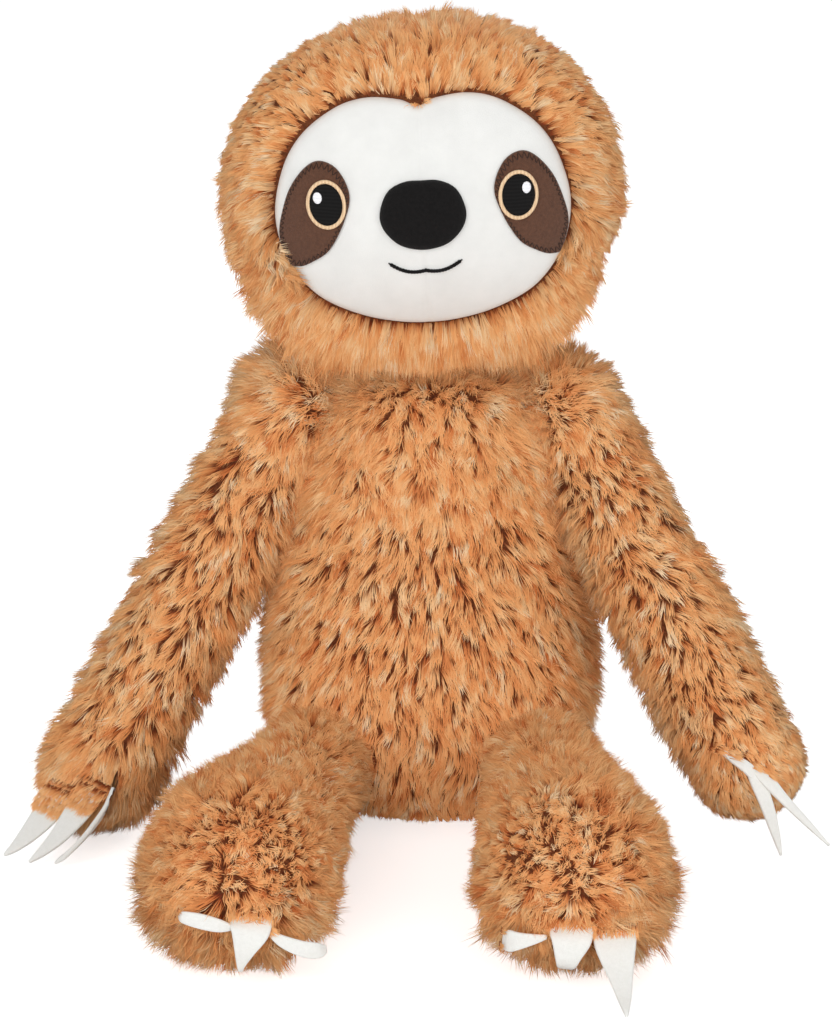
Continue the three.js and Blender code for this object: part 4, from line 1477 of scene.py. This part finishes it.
for side_name, side in (("left", 1), ("right", -1)):
    mirror = np.array([side, 1])
    ring_path = on_head(oval_edge(EYE * mirror, RING_HALF, RING_POINTS), PATCH_HIGH + 0.45 * MM)
    ripple = 1 + 0.07 * np.cos(np.arange(RING_POINTS) * 2 * np.pi / POINTS_PER_THREAD)
    ring = thread_tube(f"stitched_ring_{side_name}", ring_path, RING_HALF_WIDE, RING_HALF_HIGH, 10, True,
                       ripple)
    ring.data.materials.append(tan_thread)
    pupil = sewn_piece(f"stitched_pupil_{side_name}", oval_edge(EYE * mirror, PUPIL_HALF, 64),
                       PATCH_HIGH - 0.2 * MM, PATCH_HIGH + 0.5 * MM, 1.2 * MM, 10)
    pupil.data.materials.append(black_thread)
    glint = sewn_piece(f"stitched_glint_{side_name}", oval_edge(GLINT * mirror, GLINT_HALF, 40),
                       PATCH_HIGH + 0.2 * MM, PATCH_HIGH + 1.1 * MM, 0.9 * MM, 5)
    glint.data.materials.append(white_thread)
    for piece, node, slot in ((ring, "eye_ring", "tan_thread"), (pupil, "pupil", "black_thread"),
                              (glint, "eye_glint", "white_thread")):
        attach(piece, "head")
        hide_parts(f"{node}_{side_name}")
print("eye ring points:", len(ring.data.vertices))

# %% [markdown]
# ### Nose and mouth
# The nose is a pad of matt black felt, lightly stuffed, with a faint fold beside its middle. The mouth
# is one line of black stitches in two shallow arcs that meet in a small point.

# %% Nose
NOSE_HALF = np.array([19, 15.2]) * MM
NOSE_DROP = 2.5 * MM
NOSE_SHARES = [(0, 1), (0.42, 0.97), (0.8, 0.7), (1, 0.1), (0.92, -0.38), (0.6, -0.8), (0.2, -0.97)]
NOSE_LOW, NOSE_HIGH = 4.1 * MM, 7.4 * MM
NOSE_ROUNDING = 3.0 * MM
NOSE_CROWN = 1.2 * MM
NOSE_FOLD = {"at": 3.2 * MM, "wide": 1.0 * MM, "deep": 0.5 * MM}


def nose_relief(flat):
    """A cushion's crown, with a shallow fold beside the middle, on the toy's left."""
    share = np.hypot(flat[..., 0] / NOSE_HALF[0], (flat[..., 1] + NOSE_DROP) / NOSE_HALF[1])
    crown = NOSE_CROWN * (1 - np.clip(share, 0, 1) ** 2)
    fold = NOSE_FOLD["deep"] * np.exp(-(((flat[..., 0] - NOSE_FOLD["at"]) / NOSE_FOLD["wide"]) ** 2))
    return crown - fold * np.clip(1.1 - share, 0, 1)


half_nose = np.array(NOSE_SHARES) * NOSE_HALF
nose_edge = smooth_loop(np.vstack([half_nose, half_nose[1:][::-1] * [-1, 1]])) - [0, NOSE_DROP]
nose = sewn_piece("felt_nose", nose_edge, NOSE_LOW, NOSE_HIGH, NOSE_ROUNDING, 26, nose_relief)
nose.data.materials.append(black_felt)
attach(nose, "head")
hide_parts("nose")

# %% Mouth
MOUTH_HALF_WIDTH = 16.3 * MM
MOUTH_DROP = 27.5 * MM
MOUTH_LIFT = 4 * MM
MOUTH_SAG = 1.2 * MM
MOUTH_HALF_WIDE, MOUTH_HALF_HIGH = 0.85 * MM, 0.8 * MM
STITCH_RIPPLES = 26

share = np.linspace(-1, 1, 161)
mouth_line = np.stack([
    MOUTH_HALF_WIDTH * share,
    MOUTH_LIFT * share**2 - MOUTH_SAG * np.sin(np.pi * np.abs(share)) - MOUTH_DROP,
], -1)
taper = np.clip((1 - np.abs(share)) * 14, 0.35, 1)
ripple = 1 + 0.1 * np.cos(share * np.pi * STITCH_RIPPLES)
mouth = thread_tube("stitched_mouth", on_head(mouth_line, FACE_HIGH + 0.35 * MM),
                    MOUTH_HALF_WIDE, MOUTH_HALF_HIGH, 8, False, taper * ripple)
mouth.data.materials.append(black_thread)
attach(mouth, "head")
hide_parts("mouth")
print("nose and mouth points:", len(nose.data.vertices), len(mouth.data.vertices))

# %% [markdown]
# ## Claws
# The claws are cut from thick white felt and sewn into a slit in each hand and foot, so they bend and
# twist as the toy is handled. Each one is a flat band that follows its own bent line, wide at the root
# and narrow at the tip. The flat side looks along the given direction.

# %% Felt claws
CLAW_SQUARENESS = 0.45
CLAW_END = 0.5 * MM


def squared(value):
    """A sine or cosine, drawn towards -1 and 1, so that a round section becomes a band's."""
    return np.sign(value) * np.abs(value) ** CLAW_SQUARENESS


def claw_mesh(name, facing, stations, sides=16):
    """A band of felt with rounded edges along a claw's path."""
    path, half_wide, ahead, across, outward = claw_frame(facing, stations)
    half_thick = np.minimum(CLAW_HALF_THICK, half_wide * 0.9)
    rows = []
    for turn in np.linspace(0, 2 * np.pi, sides, endpoint=False):
        c, s = squared(np.cos(turn)), squared(np.sin(turn))
        rows.append(path + (half_wide * c)[:, None] * across + (half_thick * s)[:, None] * outward)
    body = np.stack(rows, 1).reshape(-1, 3)
    root, tip = path[0] - ahead[0] * CLAW_END, path[-1] + ahead[-1] * CLAW_END
    points = np.vstack([root[None], body, tip[None]])
    return mesh_piece(name, points, globe_faces(len(path), sides))


for name, (facing, stations) in CLAWS.items():
    claw = claw_mesh(f"{name}_felt", facing, stations)
    claw.data.materials.append(white_felt)
    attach(claw, name)
    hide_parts(name)
print("claws:", len(CLAWS))

# %% [markdown]
# ## Parts inside
# The stuffing keeps its CAD shape. It is hidden in the finished toy, and it gets its own look all the
# same: white polyester wadding, matted and uneven.

# %% Stuffing
for name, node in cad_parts.items():
    if name.endswith("_stuffing"):
        node.data.materials.clear()
        node.data.materials.append(wadding)
print("stuffings:", sum(name.endswith("_stuffing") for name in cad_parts))
